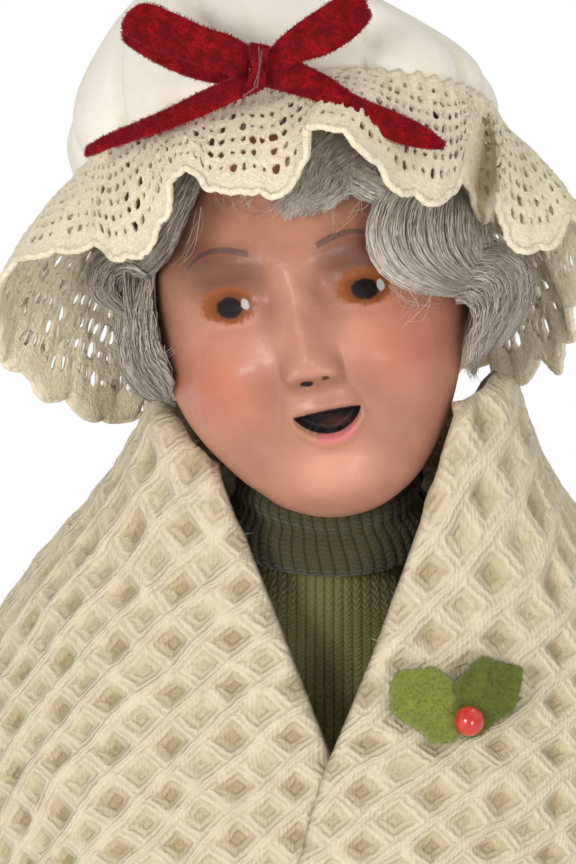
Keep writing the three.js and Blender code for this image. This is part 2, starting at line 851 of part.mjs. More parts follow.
// Where a front edge lies across the chest: side -1 is the lower panel, side 1 the upper one
function shawlEdgeAcross(v, side) {
  if (v < openingShare) {
    return side * (neckOpening / 2) * (1 - v / openingShare);
  }
  return -side * panelOverlap * ((v - openingShare) / (1 - openingShare)) ** 0.8;
}

function shawlPoint(u, v) {
  const size = shawlSize(v);
  const lower = Math.asin(shawlEdgeAcross(v, -1) / size.x);
  const upper = Math.asin(shawlEdgeAcross(v, 1) / size.x) - 2 * Math.PI;
  const azimuth = mix(lower, upper, u);
  const lap = (shawlThickness + clothGap) * smooth((u - 0.8) / 0.14);
  const fold = shawlFoldDepth * v * v * Math.sin(9 * azimuth) * smooth(u / 0.2) * smooth((0.94 - u) / 0.2);
  const grow = lap + fold;
  const rim = shawlRimFront + shawlRimBackRise * (1 - Math.cos(azimuth)) / 2;
  return vector(
    (size.x + grow) * Math.sin(azimuth),
    shawlCentreY - (size.y + grow) * Math.cos(azimuth),
    mix(rim, shawlHem, v),
  );
}

// The place on the outside of the upper panel where the holly is pinned
function hollyPlace() {
  const v = (neckOpeningDepth - hollyRise) / shawlLength;
  const size = shawlSize(v);
  const upper = Math.asin(shawlEdgeAcross(v, 1) / size.x) - 2 * Math.PI;
  const lower = Math.asin(shawlEdgeAcross(v, -1) / size.x);
  const azimuth = Math.asin(hollyAcross / (size.x + shawlThickness * 2)) - 2 * Math.PI;
  const u = (azimuth - lower) / (upper - lower);
  const step = 0.004;
  const acrossCloth = shawlPoint(u + step, v).sub(shawlPoint(u - step, v));
  const downCloth = shawlPoint(u, v + step).sub(shawlPoint(u, v - step));
  const outward = acrossCloth.cross(downCloth).normalize();
  return { point: shawlPoint(u, v).addScaledVector(outward, shawlThickness), outward };
}

function leafOutline() {
  const half = leafWidth / 2;
  const upperEdge = [[0, 0.28], [0.2, 0.8], [0.36, 1], [0.5, 0.72], [0.66, 0.98], [0.8, 0.6], [0.97, 0.5]];
  const outline = new THREE.Shape();
  outline.moveTo(0, upperEdge[0][1] * half);
  for (const [along, across] of upperEdge) {
    outline.lineTo(along * leafLength, across * half);
  }
  outline.lineTo(leafLength, 0);
  for (const [along, across] of [...upperEdge].reverse()) {
    outline.lineTo(along * leafLength, -across * half);
  }
  outline.closePath();
  return outline;
}

function addShawlAndHolly() {
  const place = hollyPlace();
  const holly = new THREE.Group();
  const up = vector(0, 0, 1);
  const across = up.clone().cross(place.outward).normalize();
  const frame = new THREE.Matrix4().makeBasis(across, place.outward.clone().cross(across), place.outward);
  holly.quaternion.setFromRotationMatrix(frame);
  holly.position.copy(place.point);
  doll.add(holly);
  holly.updateMatrixWorld(true);

  const berryCentre = clothGap + feltLeafThickness + seatGap + berryRadius;
  const pinBottom = berryCentre - pinLength;
  const pinHole = uprightPin(pinRadius + seatGap, pinBottom - 1, berryCentre + 1, 0, 0, wireSides);
  const shawl = thickSheet(shawlPoint, 48, 9, shawlThickness, false);
  const holeThroughShawl = pinHole.clone().applyMatrix4(holly.matrixWorld);
  addNode(doll, 'shawl', cut(shawl, holeThroughShawl), cloth(shawlColour));

  const leafTurns = { left: 168, right: 38 };
  const leafDepth = { depth: feltLeafThickness, bevelEnabled: false };
  for (const [word, turn] of Object.entries(leafTurns)) {
    const leaf = new THREE.ExtrudeGeometry(leafOutline(), leafDepth);
    leaf.translate(seatGap + pinRadius + 0.5, 0, clothGap);
    leaf.rotateZ(radians(turn));
    const blocker = new THREE.BoxGeometry(leafLength * 3, leafWidth * 3, 2 * berryRadius);
    const facing = word === 'left' ? 1 : -1;
    blocker.translate(facing * (leafLength * 1.5 - seatGap / 2), 0, clothGap);
    blocker.rotateZ(radians(13));
    addNode(holly, `holly_leaf_${word}`, cut(leaf, pinHole, blocker), cloth(feltGreen));
  }
  const berry = new THREE.SphereGeometry(berryRadius, 12, 8);
  berry.rotateX(Math.PI / 2);
  berry.translate(0, 0, berryCentre);
  addNode(holly, 'holly_berry', cut(berry, pinHole), berryPaint);
  addNode(holly, 'holly_pin', uprightPin(pinRadius, pinBottom, berryCentre + 0.6, 0, 0, 6), steel);
}

// Head: everything on it sits in one tilted group

const headGroup = new THREE.Group();
headGroup.position.set(neckPivot.x - headAside, neckPivot.y - headForward, neckPivot.z + headRise);
headGroup.rotation.set(radians(-headTilt), radians(-headRoll), 0, 'YXZ');
doll.add(headGroup);
headGroup.updateMatrixWorld(true);
const worldToHead = headGroup.matrixWorld.clone().invert();

// A point of the plain skull: azimuth from the face towards +X, elevation from the level of the eyes.
// Below that level the skull narrows less than an oval, reaches low at the chin and stays high at the nape.
function skullPoint(azimuth, elevation, margin) {
  const flat = elevation < 0 ? Math.cos(elevation) ** 0.86 : Math.cos(elevation);
  const x = (headWidth / 2 + margin) * flat * Math.sin(azimuth);
  const y = -(headDepth / 2 + margin) * Math.cos(elevation) * Math.cos(azimuth);
  const backShare = smooth((y + headDepth * 0.28) / (headDepth * 0.42));
  const below = mix(chinReach, napeHeight, backShare) + margin;
  const reach = elevation < 0 ? below : headHeight / 2 + margin;
  return vector(x, y, reach * Math.sin(elevation));
}

// How far the modelled clay stands out from the skull across the face, on a face line that leans a little
function faceRelief(x, z) {
  const across = x - faceAside + z * Math.tan(radians(faceLean));
  const eye = eyeSpacing / 2;
  const pair = (aside, level, width, height) => (
    bump(across - aside, z - level, width, height) + bump(across + aside, z - level, width, height)
  );
  const bridge = noseLength * 0.5 * bump(across, z + 3.5, 2.2, 5.5);
  const tip = noseLength * 0.85 * bump(across, z + 8.6, 2.5, 2.4);
  const nostrils = 0.9 * pair(2.5, -9.9, 1.5, 1.5);
  const brows = 0.9 * pair(eye, 5.4, 6, 2.6);
  const sockets = -1.7 * pair(eye, -0.2, 4.4, 3);
  const eyeballs = 0.9 * pair(eye, -0.5, 2.8, 1.8);
  const cheeks = 1.5 * pair(10, -10, 5.4, 5);
  const mouth = -2.1 * bump(across, z + 16.4, 3.9, 1.3);
  const lips = 1.1 * bump(across, z + 16.2, 5.2, 3.2);
  const chin = 1.4 * bump(across, z + 24.5, 6, 4);
  return bridge + tip + nostrils + brows + sockets + eyeballs + cheeks + mouth + lips + chin;
}

// The modelled head: the skull with its face, which fades out towards the ears
function headPoint(azimuth, elevation, margin) {
  const point = skullPoint(azimuth, elevation, margin);
  const turned = Math.abs(Math.atan2(Math.sin(azimuth), Math.cos(azimuth)));
  const facing = smooth((radians(64) - turned) / radians(22));
  const outward = point.clone().setZ(point.z * 0.3).normalize();
  return point.addScaledVector(outward, facing * faceRelief(point.x, point.z));
}

function headSolid() {
  const columns = 30;
  const rows = 26;
  const rings = [];
  for (let row = 1; row < rows; row += 1) {
    const elevation = mix(-Math.PI / 2, Math.PI / 2, row / rows);
    const ring = [];
    for (let column = 0; column < columns; column += 1) {
      const turn = (column / columns) * 2 * Math.PI;
      const azimuth = turn - 0.5 * Math.sin(turn);
      ring.push(headPoint(azimuth, elevation, 0));
    }
    rings.push(ring);
  }
  return loftRings(rings, skullPoint(0, -Math.PI / 2, 0), skullPoint(0, Math.PI / 2, 0));
}

const neckStubBottom = neckPivot.z + 3.6;

function addHead() {
  const stubTop = neckPivot.z + headRise * 0.6;
  const stub = uprightPin(neckRadius, neckStubBottom, stubTop, 0, neckPivot.y, roundSides);
  const boreTop = neckWireTop + seatGap;
  const bore = uprightPin(wireRadius + seatGap, neckPivot.z, boreTop, 0, neckPivot.y);
  stub.applyMatrix4(worldToHead);
  bore.applyMatrix4(worldToHead);
  addNode(headGroup, 'head', cut(join(headSolid(), stub), bore), skin);
  const wire = uprightPin(wireRadius, neckWireBottom, neckWireTop, 0, neckPivot.y, wireSides);
  addNode(doll, 'neck_wire', wire, steel);
}

// Cap frame: the gathered edge of the cap is a tilted oval round the head

const capGroup = new THREE.Group();
capGroup.position.set(0, bandSetback, bandRise);
capGroup.rotation.x = radians(-bandTilt);
headGroup.add(capGroup);
capGroup.updateMatrixWorld(true);

function bandPlaneHeight(y) {
  return bandRise - (y - bandSetback) * Math.tan(radians(bandTilt));
}

// Highest elevation at which hair of this thickness stays under the cap's edge
function hairTop(azimuth, thickness) {
  let elevation = radians(80);
  while (elevation > 0) {
    const point = skullPoint(azimuth, elevation, hairGap + thickness);
    if (point.z < bandPlaneHeight(point.y) - hairTuck) {
      break;
    }
    elevation -= radians(1);
  }
  return elevation;
}

const locks = {
  hair_fringe: { from: -46, to: 38, lowest: 37, thickness: fringeThickness, waves: 5 },
  hair_left: { from: -122, to: -49, lowest: -21, thickness: leftLockThickness, waves: 3 },
  hair_right: { from: 41, to: 122, lowest: -25, thickness: rightLockThickness, waves: 3 },
  hair_back: { from: 125, to: 235, lowest: -17, thickness: backHairThickness, waves: 6 },
};

function addHair() {
  for (const [name, lock] of Object.entries(locks)) {
    const lockPoint = (u, v, margin) => {
      const azimuth = radians(mix(lock.from, lock.to, u));
      const top = hairTop(azimuth, lock.thickness);
      const wave = radians(3) * Math.sin(lock.waves * 2 * Math.PI * u);
      const bottom = Math.min(radians(lock.lowest) + wave, top - radians(4));
      return headPoint(azimuth, mix(bottom, top, v), margin);
    };
    const columns = 10;
    const rows = 5;
    const inner = [];
    const outer = [];
    for (let row = 0; row <= rows; row += 1) {
      for (let column = 0; column <= columns; column += 1) {
        const u = column / columns;
        const v = row / rows;
        const roundedAcross = Math.sqrt(Math.sin(Math.PI * mix(0.07, 0.93, u)));
        const roundedAlong = Math.sqrt(Math.sin(Math.PI * mix(0.1, 0.8, v)));
        const ripple = 0.9 - 0.11 * Math.cos(lock.waves * 2 * Math.PI * (u + 0.3 * v));
        const thickness = thinHair + (lock.thickness - thinHair) * roundedAcross * roundedAlong * ripple;
        inner.push(lockPoint(u, v, hairGap));
        outer.push(lockPoint(u, v, hairGap + thickness));
      }
    }
    addNode(headGroup, name, patchSolid(inner, outer, columns, rows), cloth(hairColour));
  }
}

// Solid between two matching grids of points
function patchSolid(inner, outer, columns, rows) {
  const corners = [];
  const far = inner.length;
  const at = (i, j) => j * (columns + 1) + i;
  const quad = (a, b, c, d) => corners.push(a, b, c, a, c, d);
  for (let j = 0; j < rows; j += 1) {
    for (let i = 0; i < columns; i += 1) {
      quad(at(i, j), at(i, j + 1), at(i + 1, j + 1), at(i + 1, j));
      quad(far + at(i, j), far + at(i + 1, j), far + at(i + 1, j + 1), far + at(i, j + 1));
    }
    quad(at(0, j), far + at(0, j), far + at(0, j + 1), at(0, j + 1));
    quad(at(columns, j), at(columns, j + 1), far + at(columns, j + 1), far + at(columns, j));
  }
  for (let i = 0; i < columns; i += 1) {
    quad(at(i, 0), at(i + 1, 0), far + at(i + 1, 0), far + at(i, 0));
    quad(at(i, rows), far + at(i, rows), far + at(i + 1, rows), at(i + 1, rows));
  }
  return closedMesh([...inner, ...outer], corners);
}

// Cap crown: a puffed dome over the gathered edge

function crownReach(share) {
  const puff = Math.sqrt(Math.max(1 - share ** 2.2, 0));
  return (crownWidth / 2) * puff * (1 - 0.1 * Math.exp(-share / 0.08));
}

function crownPoint(azimuth, share, lift) {
  const wave = Math.cos(gatherCount * azimuth + Math.sin(2 * azimuth));
  const gathers = 1 + gatherDepth * (1 - share) ** 1.5 * wave;
  const reach = crownReach(share) * gathers + lift;
  return vector(
    reach * Math.sin(azimuth),
    -reach * (bandDepth / bandWidth) * Math.cos(azimuth),
    mix(seatGap, crownHeight, share),
  );
}

function addCap() {
  const columns = 3 * gatherCount;
  const shares = [0, 0.05, 0.15, 0.32, 0.5, 0.68, 0.84, 0.95];
  const rings = shares.map((share) => Array.from(
    { length: columns }, (_, column) => crownPoint((column / columns) * 2 * Math.PI, share, 0),
  ));
  const dome = loftRings(rings, undefined, vector(0, 0, crownHeight));
  const skullRings = [];
  const skullRows = 12;
  const margin = 2 * hairGap;
  for (let row = 1; row < skullRows; row += 1) {
    const elevation = mix(-Math.PI / 2, Math.PI / 2, row / skullRows);
    const turn = 2 * Math.PI / roundSides;
    const around = { length: roundSides };
    skullRings.push(Array.from(around, (_, side) => skullPoint(side * turn, elevation, margin)));
  }
  const lowest = skullPoint(0, -Math.PI / 2, margin);
  const highest = skullPoint(0, Math.PI / 2, margin);
  const skull = loftRings(skullRings, lowest, highest);
  skull.applyMatrix4(capGroup.matrix.clone().invert());
  addNode(capGroup, 'cap_crown', cut(dome, skull), cloth(muslinColour));

  const thread = new THREE.TorusGeometry(bandWidth / 2 - 1, threadRadius, 4, 2 * roundSides);
  thread.scale(1, bandDepth / bandWidth, 1);
  thread.translate(0, 0, -threadRadius);
  addNode(capGroup, 'cap_gather_thread', thread, cloth(muslinColour));

  const lace = thickSheet(lacePoint, 7 * laceFluteCount, 3, -laceThickness, true);
  addNode(capGroup, 'cap_lace', lace, cloth(laceColour));
}

// Lace ruffle: falls outward from the gathered edge in flutes
function lacePoint(u, v) {
  const azimuth = 2 * Math.PI * u;
  const sideways = Math.sin(azimuth) ** 2;
  const front = smooth(Math.cos(azimuth));
  const reach = mix(laceSideReach, laceFrontReach, front) * v;
  const drop = radians(mix(mix(43, 46, sideways), 56, front));
  const flute = laceFluteDepth * v ** 1.4 * Math.sin(laceFluteCount * azimuth + 1.2 * Math.sin(azimuth));
  const outward = reach * Math.cos(drop) + flute * Math.sin(drop);
  const down = reach * Math.sin(drop) - flute * Math.cos(drop);
  const edge = 0.5;
  return vector(
    (bandWidth / 2 + edge + outward) * Math.sin(azimuth),
    -(bandDepth / 2 + edge + outward) * Math.cos(azimuth),
    -1.4 - down,
  );
}

// Velvet bow: two loops, two tails and a knot, in a flat frame bent round the crown
function addBow() {
  const bow = new THREE.Group();
  const share = bowHeight / crownHeight;
  const azimuth = radians(bowAside);
  const lift = crownWidth / 2 * gatherDepth + 0.5;
  bow.position.copy(crownPoint(azimuth, share, lift));
  bow.rotation.set(Math.PI / 2, 0, azimuth, 'ZXY');
  capGroup.add(bow);
  const bend = crownWidth / 2 + 1.5;
  const round = (across, up, out) => {
    const fall = bend - Math.sqrt(Math.max(bend * bend - across * across, 1));
    return vector(across, up, out - fall);
  };
  const loop = (turn) => (u, v) => {
    const around = 2 * Math.PI * u;
    const along = 0.6 + (bowLoopLength - 0.6) * (1 - Math.cos(around)) / 2;
    const open = 0.3 + 0.7 * (1 - Math.cos(around)) / 2;
    const out = (bowLoopDepth / 2) * Math.sin(around) * open + bowLoopDepth / 2;
    const width = ribbonWidth * mix(0.62, 1, smooth(along / (bowLoopLength * 0.6)));
    const across = (v - 0.5) * width;
    const cos = Math.cos(radians(turn));
    const sin = Math.sin(radians(turn));
    return round(along * cos - across * sin, along * sin + across * cos, out);
  };
  const tail = (turn, rise, twist) => (u, v) => {
    const along = 1 + (bowTailLength - 1) * u;
    const across = (v - 0.5) * ribbonWidth * mix(0.7, 1, u);
    const lean = radians(twist) * smooth(u * 4);
    const flat = across * Math.cos(lean);
    const cos = Math.cos(radians(turn));
    const sin = Math.sin(radians(turn));
    const out = 0.9 + rise * u * u + (across + ribbonWidth / 2) * Math.sin(lean);
    return round(along * cos - flat * sin, along * sin + flat * cos, out);
  };
  const knot = new THREE.SphereGeometry(1, 10, 6);
  knot.scale(2.5, 3.1, 1.9);
  knot.translate(0, -0.6, bowLoopDepth / 2 + 0.4);
  const pieces = [
    thickSheet(loop(148), 16, 1, ribbonThickness, true),
    thickSheet(loop(13), 16, 1, -ribbonThickness, true),
    thickSheet(tail(195, 1.8, 62), 7, 1, ribbonThickness, false),
    thickSheet(tail(-31, 7, 0), 7, 1, ribbonThickness, false),
  ];
  addNode(bow, 'velvet_bow', join(knot, ...pieces), cloth(velvetColour));
}

addBase();
addLeg(-1, 'left');
addLeg(1, 'right');
addBody();
addSweater();
for (const [side, word] of [[-1, 'left'], [1, 'right']]) {
  addUpperArm(side, word);
  addForearm(side, word);
  addHand(side, word);
}
addSkirt();
addShawlAndHolly();
addHead();
addHair();
addCap();
addBow();

export default doll;
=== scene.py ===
# Standing grandmother doll: clay head, curled hair, lace cap, velvet bow, knit turtleneck, waffle shawl.
# Lengths are in millimetres and are scaled to metres as each piece is finished.
import math
import random
import bmesh
import bpy
import numpy as np
from mathutils import Matrix, Vector


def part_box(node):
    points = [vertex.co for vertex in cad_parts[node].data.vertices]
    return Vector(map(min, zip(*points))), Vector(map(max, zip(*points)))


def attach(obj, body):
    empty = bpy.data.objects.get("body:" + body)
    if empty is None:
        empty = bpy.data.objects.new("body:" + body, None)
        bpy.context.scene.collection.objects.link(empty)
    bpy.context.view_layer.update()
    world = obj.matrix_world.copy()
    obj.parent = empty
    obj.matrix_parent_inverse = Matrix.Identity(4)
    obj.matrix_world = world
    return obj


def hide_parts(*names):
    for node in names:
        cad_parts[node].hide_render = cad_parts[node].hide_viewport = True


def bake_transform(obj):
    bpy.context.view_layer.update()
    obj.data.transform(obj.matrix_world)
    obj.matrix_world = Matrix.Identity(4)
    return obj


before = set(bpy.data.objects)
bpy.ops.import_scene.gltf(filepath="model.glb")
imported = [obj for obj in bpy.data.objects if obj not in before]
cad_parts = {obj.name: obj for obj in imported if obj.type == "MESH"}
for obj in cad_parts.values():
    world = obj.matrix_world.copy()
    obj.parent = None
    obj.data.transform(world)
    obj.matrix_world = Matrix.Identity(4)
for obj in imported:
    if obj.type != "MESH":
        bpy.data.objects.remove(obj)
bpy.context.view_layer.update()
mm = 0.001
viewWidth, viewHeight = 576, 864
random.seed(7)
scatter = np.random.default_rng(7)

# Studio
studio = {
    'cameraAim': (-5.4, -25.6, 269.6),
    'cameraRise': 12,
    'cameraDistance': 700,
    'pixel': 0.128,
    'worldLight': 0.58,
    'keyPower': 4.9,
    'fillPower': 2.8,
    'topPower': 1.2,
}


def paint(red, green, blue):  # screen colour to the numbers a shader takes
    shares = (channel / 255 for channel in (red, green, blue))
    return (*(share / 12.92 if share <= 0.04045 else ((share + 0.055) / 1.055) ** 2.4 for share in shares), 1)


def tinted(tone, factor, lift=0.0):
    return tuple(min(channel * factor + lift, 1) for channel in tone[:3]) + (1,)


def cameraAxes():
    rise = math.radians(studio['cameraRise'])
    forward = np.array([0, math.cos(rise), -math.sin(rise)])
    up = np.array([0, math.sin(rise), math.cos(rise)])
    place = np.array(studio['cameraAim']) - studio['cameraDistance'] * forward
    return place, forward, np.array([1.0, 0, 0]), up


def viewRay(column, row):  # the camera's place, and its ray through a column and row of the view
    place, forward, right, up = cameraAxes()
    focal = studio['cameraDistance'] / studio['pixel']
    across = (np.asarray(column, float) - viewWidth / 2) / focal
    rise = (viewHeight / 2 - np.asarray(row, float)) / focal
    return place, forward + across[..., None] * right + rise[..., None] * up


def fromView(column, row, y):  # the point seen at a column and row, at depth y
    place, ray = viewRay(column, row)
    return place + ray * (y - place[1]) / ray[1]


def onPlane(column, row, point, normal):  # where the view of a column and row meets a plane
    place, ray = viewRay(column, row)
    return place + ray * ((point - place) @ normal) / (ray @ normal)


def newObject(name, data):
    item = bpy.data.objects.new(name, data)
    bpy.context.scene.collection.objects.link(item)
    return item


def addStudio():
    lens = bpy.data.cameras.new('camera')
    lens.sensor_width = 36
    lens.lens = 36 * studio['cameraDistance'] / studio['pixel'] / viewHeight
    lens.clip_start = 0.01
    lens.clip_end = 20
    eye = newObject('camera', lens)
    eye.location = Vector(cameraAxes()[0] * mm)
    eye.rotation_euler = (math.radians(90 - studio['cameraRise']), 0, 0)
    bpy.context.scene.camera = eye

    lamps = [
        ('keyLamp', (-0.50, -0.92, 0.50), 0.30, studio['keyPower']),
        ('fillLamp', (0.40, -0.98, 0.20), 0.36, studio['fillPower']),
        ('topLamp', (0.25, 0.30, 1.10), 0.60, studio['topPower']),
    ]
    for name, spot, size, power in lamps:
        light = bpy.data.lights.new(name, 'AREA')
        light.shape = 'DISK'
        light.size = size
        light.energy = power
        lamp = newObject(name, light)
        lamp.location = spot
        lamp.rotation_euler = (Vector((0, 0, 0.22)) - Vector(spot)).to_track_quat('-Z', 'Y').to_euler()

    world = bpy.data.worlds.new('studioWorld')
    world.use_nodes = True
    bpy.context.scene.world = world
    tree = world.node_tree
    back = tree.nodes['Background']
    back.inputs['Color'].default_value = (1, 1, 1, 1)
    path = tree.nodes.new('ShaderNodeLightPath')
    seen = tree.nodes.new('ShaderNodeMath')
    seen.operation = 'MAXIMUM'
    tree.links.new(path.outputs['Is Camera Ray'], seen.inputs[0])
    tree.links.new(path.outputs['Is Transmission Ray'], seen.inputs[1])
    level = tree.nodes.new('ShaderNodeMapRange')
    level.inputs['To Min'].default_value = studio['worldLight']
    level.inputs['To Max'].default_value = 1
    tree.links.new(seen.outputs[0], level.inputs['Value'])
    tree.links.new(level.outputs['Result'], back.inputs['Strength'])

    bm = bmesh.new()
    bmesh.ops.create_circle(bm, cap_ends=True, segments=96, radius=900)
    bmesh.ops.scale(bm, vec=(mm, mm, mm), verts=bm.verts)
    floor = newObject('floor', takeMesh(bm, 'floor'))
    floor.location = (0, 0, -0.0002)
    floor.data.materials.append(floorMaterial())
    bpy.context.scene.view_settings.view_transform = 'Standard'
    print('studio ready')


# Material helpers
class Level:  # a number that changes over a surface, made of Math nodes
    def __init__(self, tree, socket):
        self.tree = tree
        self.socket = socket

    def step(self, operation, *others):
        node = self.tree.nodes.new('ShaderNodeMath')
        node.operation = operation
        for slot, item in zip(node.inputs, (self, *others)):
            if isinstance(item, Level):
                self.tree.links.new(item.socket, slot)
            else:
                slot.default_value = item
        return Level(self.tree, node.outputs[0])

    def __add__(self, other):
        return self.step('ADD', other)

    def __sub__(self, other):
        return self.step('SUBTRACT', other)

    def __mul__(self, other):
        return self.step('MULTIPLY', other)

    def __truediv__(self, other):
        return self.step('DIVIDE', other)

    def fade(self, low, high, start=0.0, end=1.0):  # smooth change from start to end between low and high
        node = self.tree.nodes.new('ShaderNodeMapRange')
        node.interpolation_type = 'SMOOTHSTEP'
        self.tree.links.new(self.socket, node.inputs['Value'])
        flip = high < low
        node.inputs['From Min'].default_value = high if flip else low
        node.inputs['From Max'].default_value = low if flip else high
        node.inputs['To Min'].default_value = end if flip else start
        node.inputs['To Max'].default_value = start if flip else end
        return Level(self.tree, node.outputs['Result'])


class Finish:  # a material whose colour is laid on in layers over a first tone
    def __init__(self, name, tone, scale=1000.0, **settings):
        self.material = bpy.data.materials.new(name)
        self.material.use_nodes = True
        self.tree = self.material.node_tree
        self.shader = self.tree.nodes['Principled BSDF']
        self.colour = tone
        self.solid = self.objectSpot(scale)
        for socket, value in settings.items():
            self.shader.inputs[socket.replace('_', ' ')].default_value = value

    def objectSpot(self, scale, turn=(0, 0, 0)):  # object coordinates, in millimetres at a scale of 1000
        spot = self.tree.nodes.new('ShaderNodeTexCoord')
        mapping = self.tree.nodes.new('ShaderNodeMapping')
        mapping.inputs['Scale'].default_value = (scale, scale, scale)
        mapping.inputs['Rotation'].default_value = [math.radians(angle) for angle in turn]
        self.tree.links.new(spot.outputs['Object'], mapping.inputs['Vector'])
        return mapping.outputs['Vector']

    def axes(self, vector):
        node = self.tree.nodes.new('ShaderNodeSeparateXYZ')
        self.tree.links.new(vector, node.inputs['Vector'])
        return [Level(self.tree, node.outputs[axis]) for axis in 'XYZ']

    def cloth(self):  # the two directions of the piece's own map, in the units it was written in
        node = self.tree.nodes.new('ShaderNodeUVMap')
        node.uv_map = 'clothMap'
        return self.axes(node.outputs['UV'])[:2]

    def noise(self, scale, detail=3.0, rough=0.5, spot=None):
        node = self.tree.nodes.new('ShaderNodeTexNoise')
        for slot, value in (('Scale', scale), ('Detail', detail), ('Roughness', rough)):
            node.inputs[slot].default_value = value
        self.tree.links.new(self.solid if spot is None else spot, node.inputs['Vector'])
        return Level(self.tree, node.outputs['Fac'])

    def mix(self, share, first, second):
        node = self.tree.nodes.new('ShaderNodeMix')
        node.data_type = 'RGBA'
        self.tree.links.new(share.socket, node.inputs['Factor'])
        for slot, colour in ((node.inputs[6], first), (node.inputs[7], second)):
            if isinstance(colour, tuple):
                slot.default_value = colour
            else:
                self.tree.links.new(colour, slot)
        return node.outputs[2]

    def layer(self, share, tone):
        self.colour = self.mix(share, self.colour, tone)

    def done(self, height=None, distance=0.0, strength=1.0):  # the bump's height is optional
        self.tree.links.new(self.colour, self.shader.inputs['Base Color'])
        if height is not None:
            node = self.tree.nodes.new('ShaderNodeBump')
            node.inputs['Strength'].default_value = strength
            node.inputs['Distance'].default_value = distance * mm
            self.tree.links.new(height.socket, node.inputs['Height'])
            self.tree.links.new(node.outputs['Normal'], self.shader.inputs['Normal'])
        return self.material


def floorMaterial():
    finish = Finish('paleFloor', paint(236, 236, 235), scale=1.0, Roughness=0.7)
    tree = finish.tree
    x, y, _ = finish.axes(finish.solid)
    finish.layer(finish.noise(60, 4), paint(243, 243, 242))
    path = tree.nodes.new('ShaderNodeLightPath')
    seen = Level(tree, path.outputs['Is Camera Ray'])
    for ray in ('Is Glossy Ray', 'Is Transmission Ray'):
        seen = seen.step('MAXIMUM', Level(tree, path.outputs[ray]))
    share = (x * x + y * y).step('SQRT').fade(0.16, 0.42) * seen
    glow = tree.nodes.new('ShaderNodeEmission')
    glow.inputs['Color'].default_value = (1, 1, 1, 1)
    blend = tree.nodes.new('ShaderNodeMixShader')
    for slot, socket in enumerate((share.socket, finish.shader.outputs['BSDF'], glow.outputs['Emission'])):
        tree.links.new(socket, blend.inputs[slot])
    tree.links.new(blend.outputs['Shader'], tree.nodes['Material Output'].inputs['Surface'])
    return finish.done()


# Mesh helpers
def readPoints(mesh):
    points = np.empty(len(mesh.vertices) * 3, np.float32)
    mesh.vertices.foreach_get('co', points)
    return points.reshape(-1, 3).astype(float)


def takeMesh(bm, name):  # the mesh that a finished bmesh holds
    mesh = bpy.data.meshes.new(name)
    bm.to_mesh(mesh)
    bm.free()
    return mesh


def takeResult(item):  # the mesh that an object's curve or modifier makes
    bpy.context.view_layer.update()
    mesh = bpy.data.meshes.new_from_object(item.evaluated_get(bpy.context.evaluated_depsgraph_get()))
    bpy.data.objects.remove(item)
    return mesh


def gridMesh(name, columns, rows, shape, clothMap=None):  # a grid moved on to a surface, u and v from 0 to 1
    bm = bmesh.new()
    bmesh.ops.create_grid(bm, x_segments=columns, y_segments=rows, size=0.5)
    return shapeMesh(takeMesh(bm, name), shape, clothMap)


def shapeMesh(mesh, shape, clothMap=None):
    flat = readPoints(mesh)
    u = np.clip(flat[:, 0] + 0.5, 0, 1)
    v = np.clip(flat[:, 1] + 0.5, 0, 1)
    if clothMap is not None:
        layer = mesh.uv_layers.new(name='clothMap')
        corners = np.empty(len(mesh.loops), np.int32)
        mesh.loops.foreach_get('vertex_index', corners)
        layer.data.foreach_set('uv', clothMap(u, v)[corners].astype(np.float32).ravel())
    mesh.vertices.foreach_set('co', shape(u, v).astype(np.float32).ravel())
    mesh.update()
    return mesh


def evenMesh(mesh, kind, **settings):  # the mesh that one modifier makes of another
    holder = newObject(mesh.name, mesh)
    modifier = holder.modifiers.new(kind, kind)
    for name, value in settings.items():
        setattr(modifier, name, value)
    return takeResult(holder)


def closeMesh(mesh, weld=0.004, thickness=0.0):  # welds seams, turns faces outward, then thickens a wall
    bm = bmesh.new()
    bm.from_mesh(mesh)
    bmesh.ops.remove_doubles(bm, verts=bm.verts, dist=weld)
    bmesh.ops.dissolve_degenerate(bm, edges=bm.edges, dist=weld / 2)
    bmesh.ops.recalc_face_normals(bm, faces=bm.faces)
    bm.to_mesh(mesh)
    bm.free()
    if thickness:
        return evenMesh(mesh, 'SOLIDIFY', thickness=thickness, offset=-1, use_even_offset=False)
    return mesh


def addPiece(name, mesh, body, material, nodes=()):
    mesh.transform(Matrix.Scale(mm, 4))
    mesh.update()
    piece = newObject(name, mesh)
    mesh.materials.clear()
    mesh.materials.append(material)
    mesh.polygons.foreach_set('use_smooth', [True] * len(mesh.polygons))
    if body:
        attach(piece, body)
    if nodes:
        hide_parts(*nodes)
    return piece


def joinMeshes(name, meshes):
    bm = bmesh.new()
    for mesh in meshes:
        bm.from_mesh(mesh)
    return takeMesh(bm, name)


def curveMesh(name, paths, taper=1.0, cyclic=False, **settings):
    curve = bpy.data.curves.new(name, 'CURVE')
    curve.dimensions = '3D'
    for setting, value in settings.items():
        setattr(curve, setting, value)
    for path in paths:
        spline = curve.splines.new('POLY')
        spline.points.add(len(path) - 1)
        flat = np.ones((len(path), 4), np.float32)
        flat[:, :3] = path
        spline.points.foreach_set('co', flat.ravel())
        width = 1 - (1 - taper) * np.linspace(0, 1, len(path)) ** 2
        spline.points.foreach_set('radius', width.astype(np.float32))
        spline.use_cyclic_u = cyclic
    mesh = takeResult(newObject(name + 'Curve', curve))
    mesh.name = name
    bpy.data.curves.remove(curve)
    return mesh


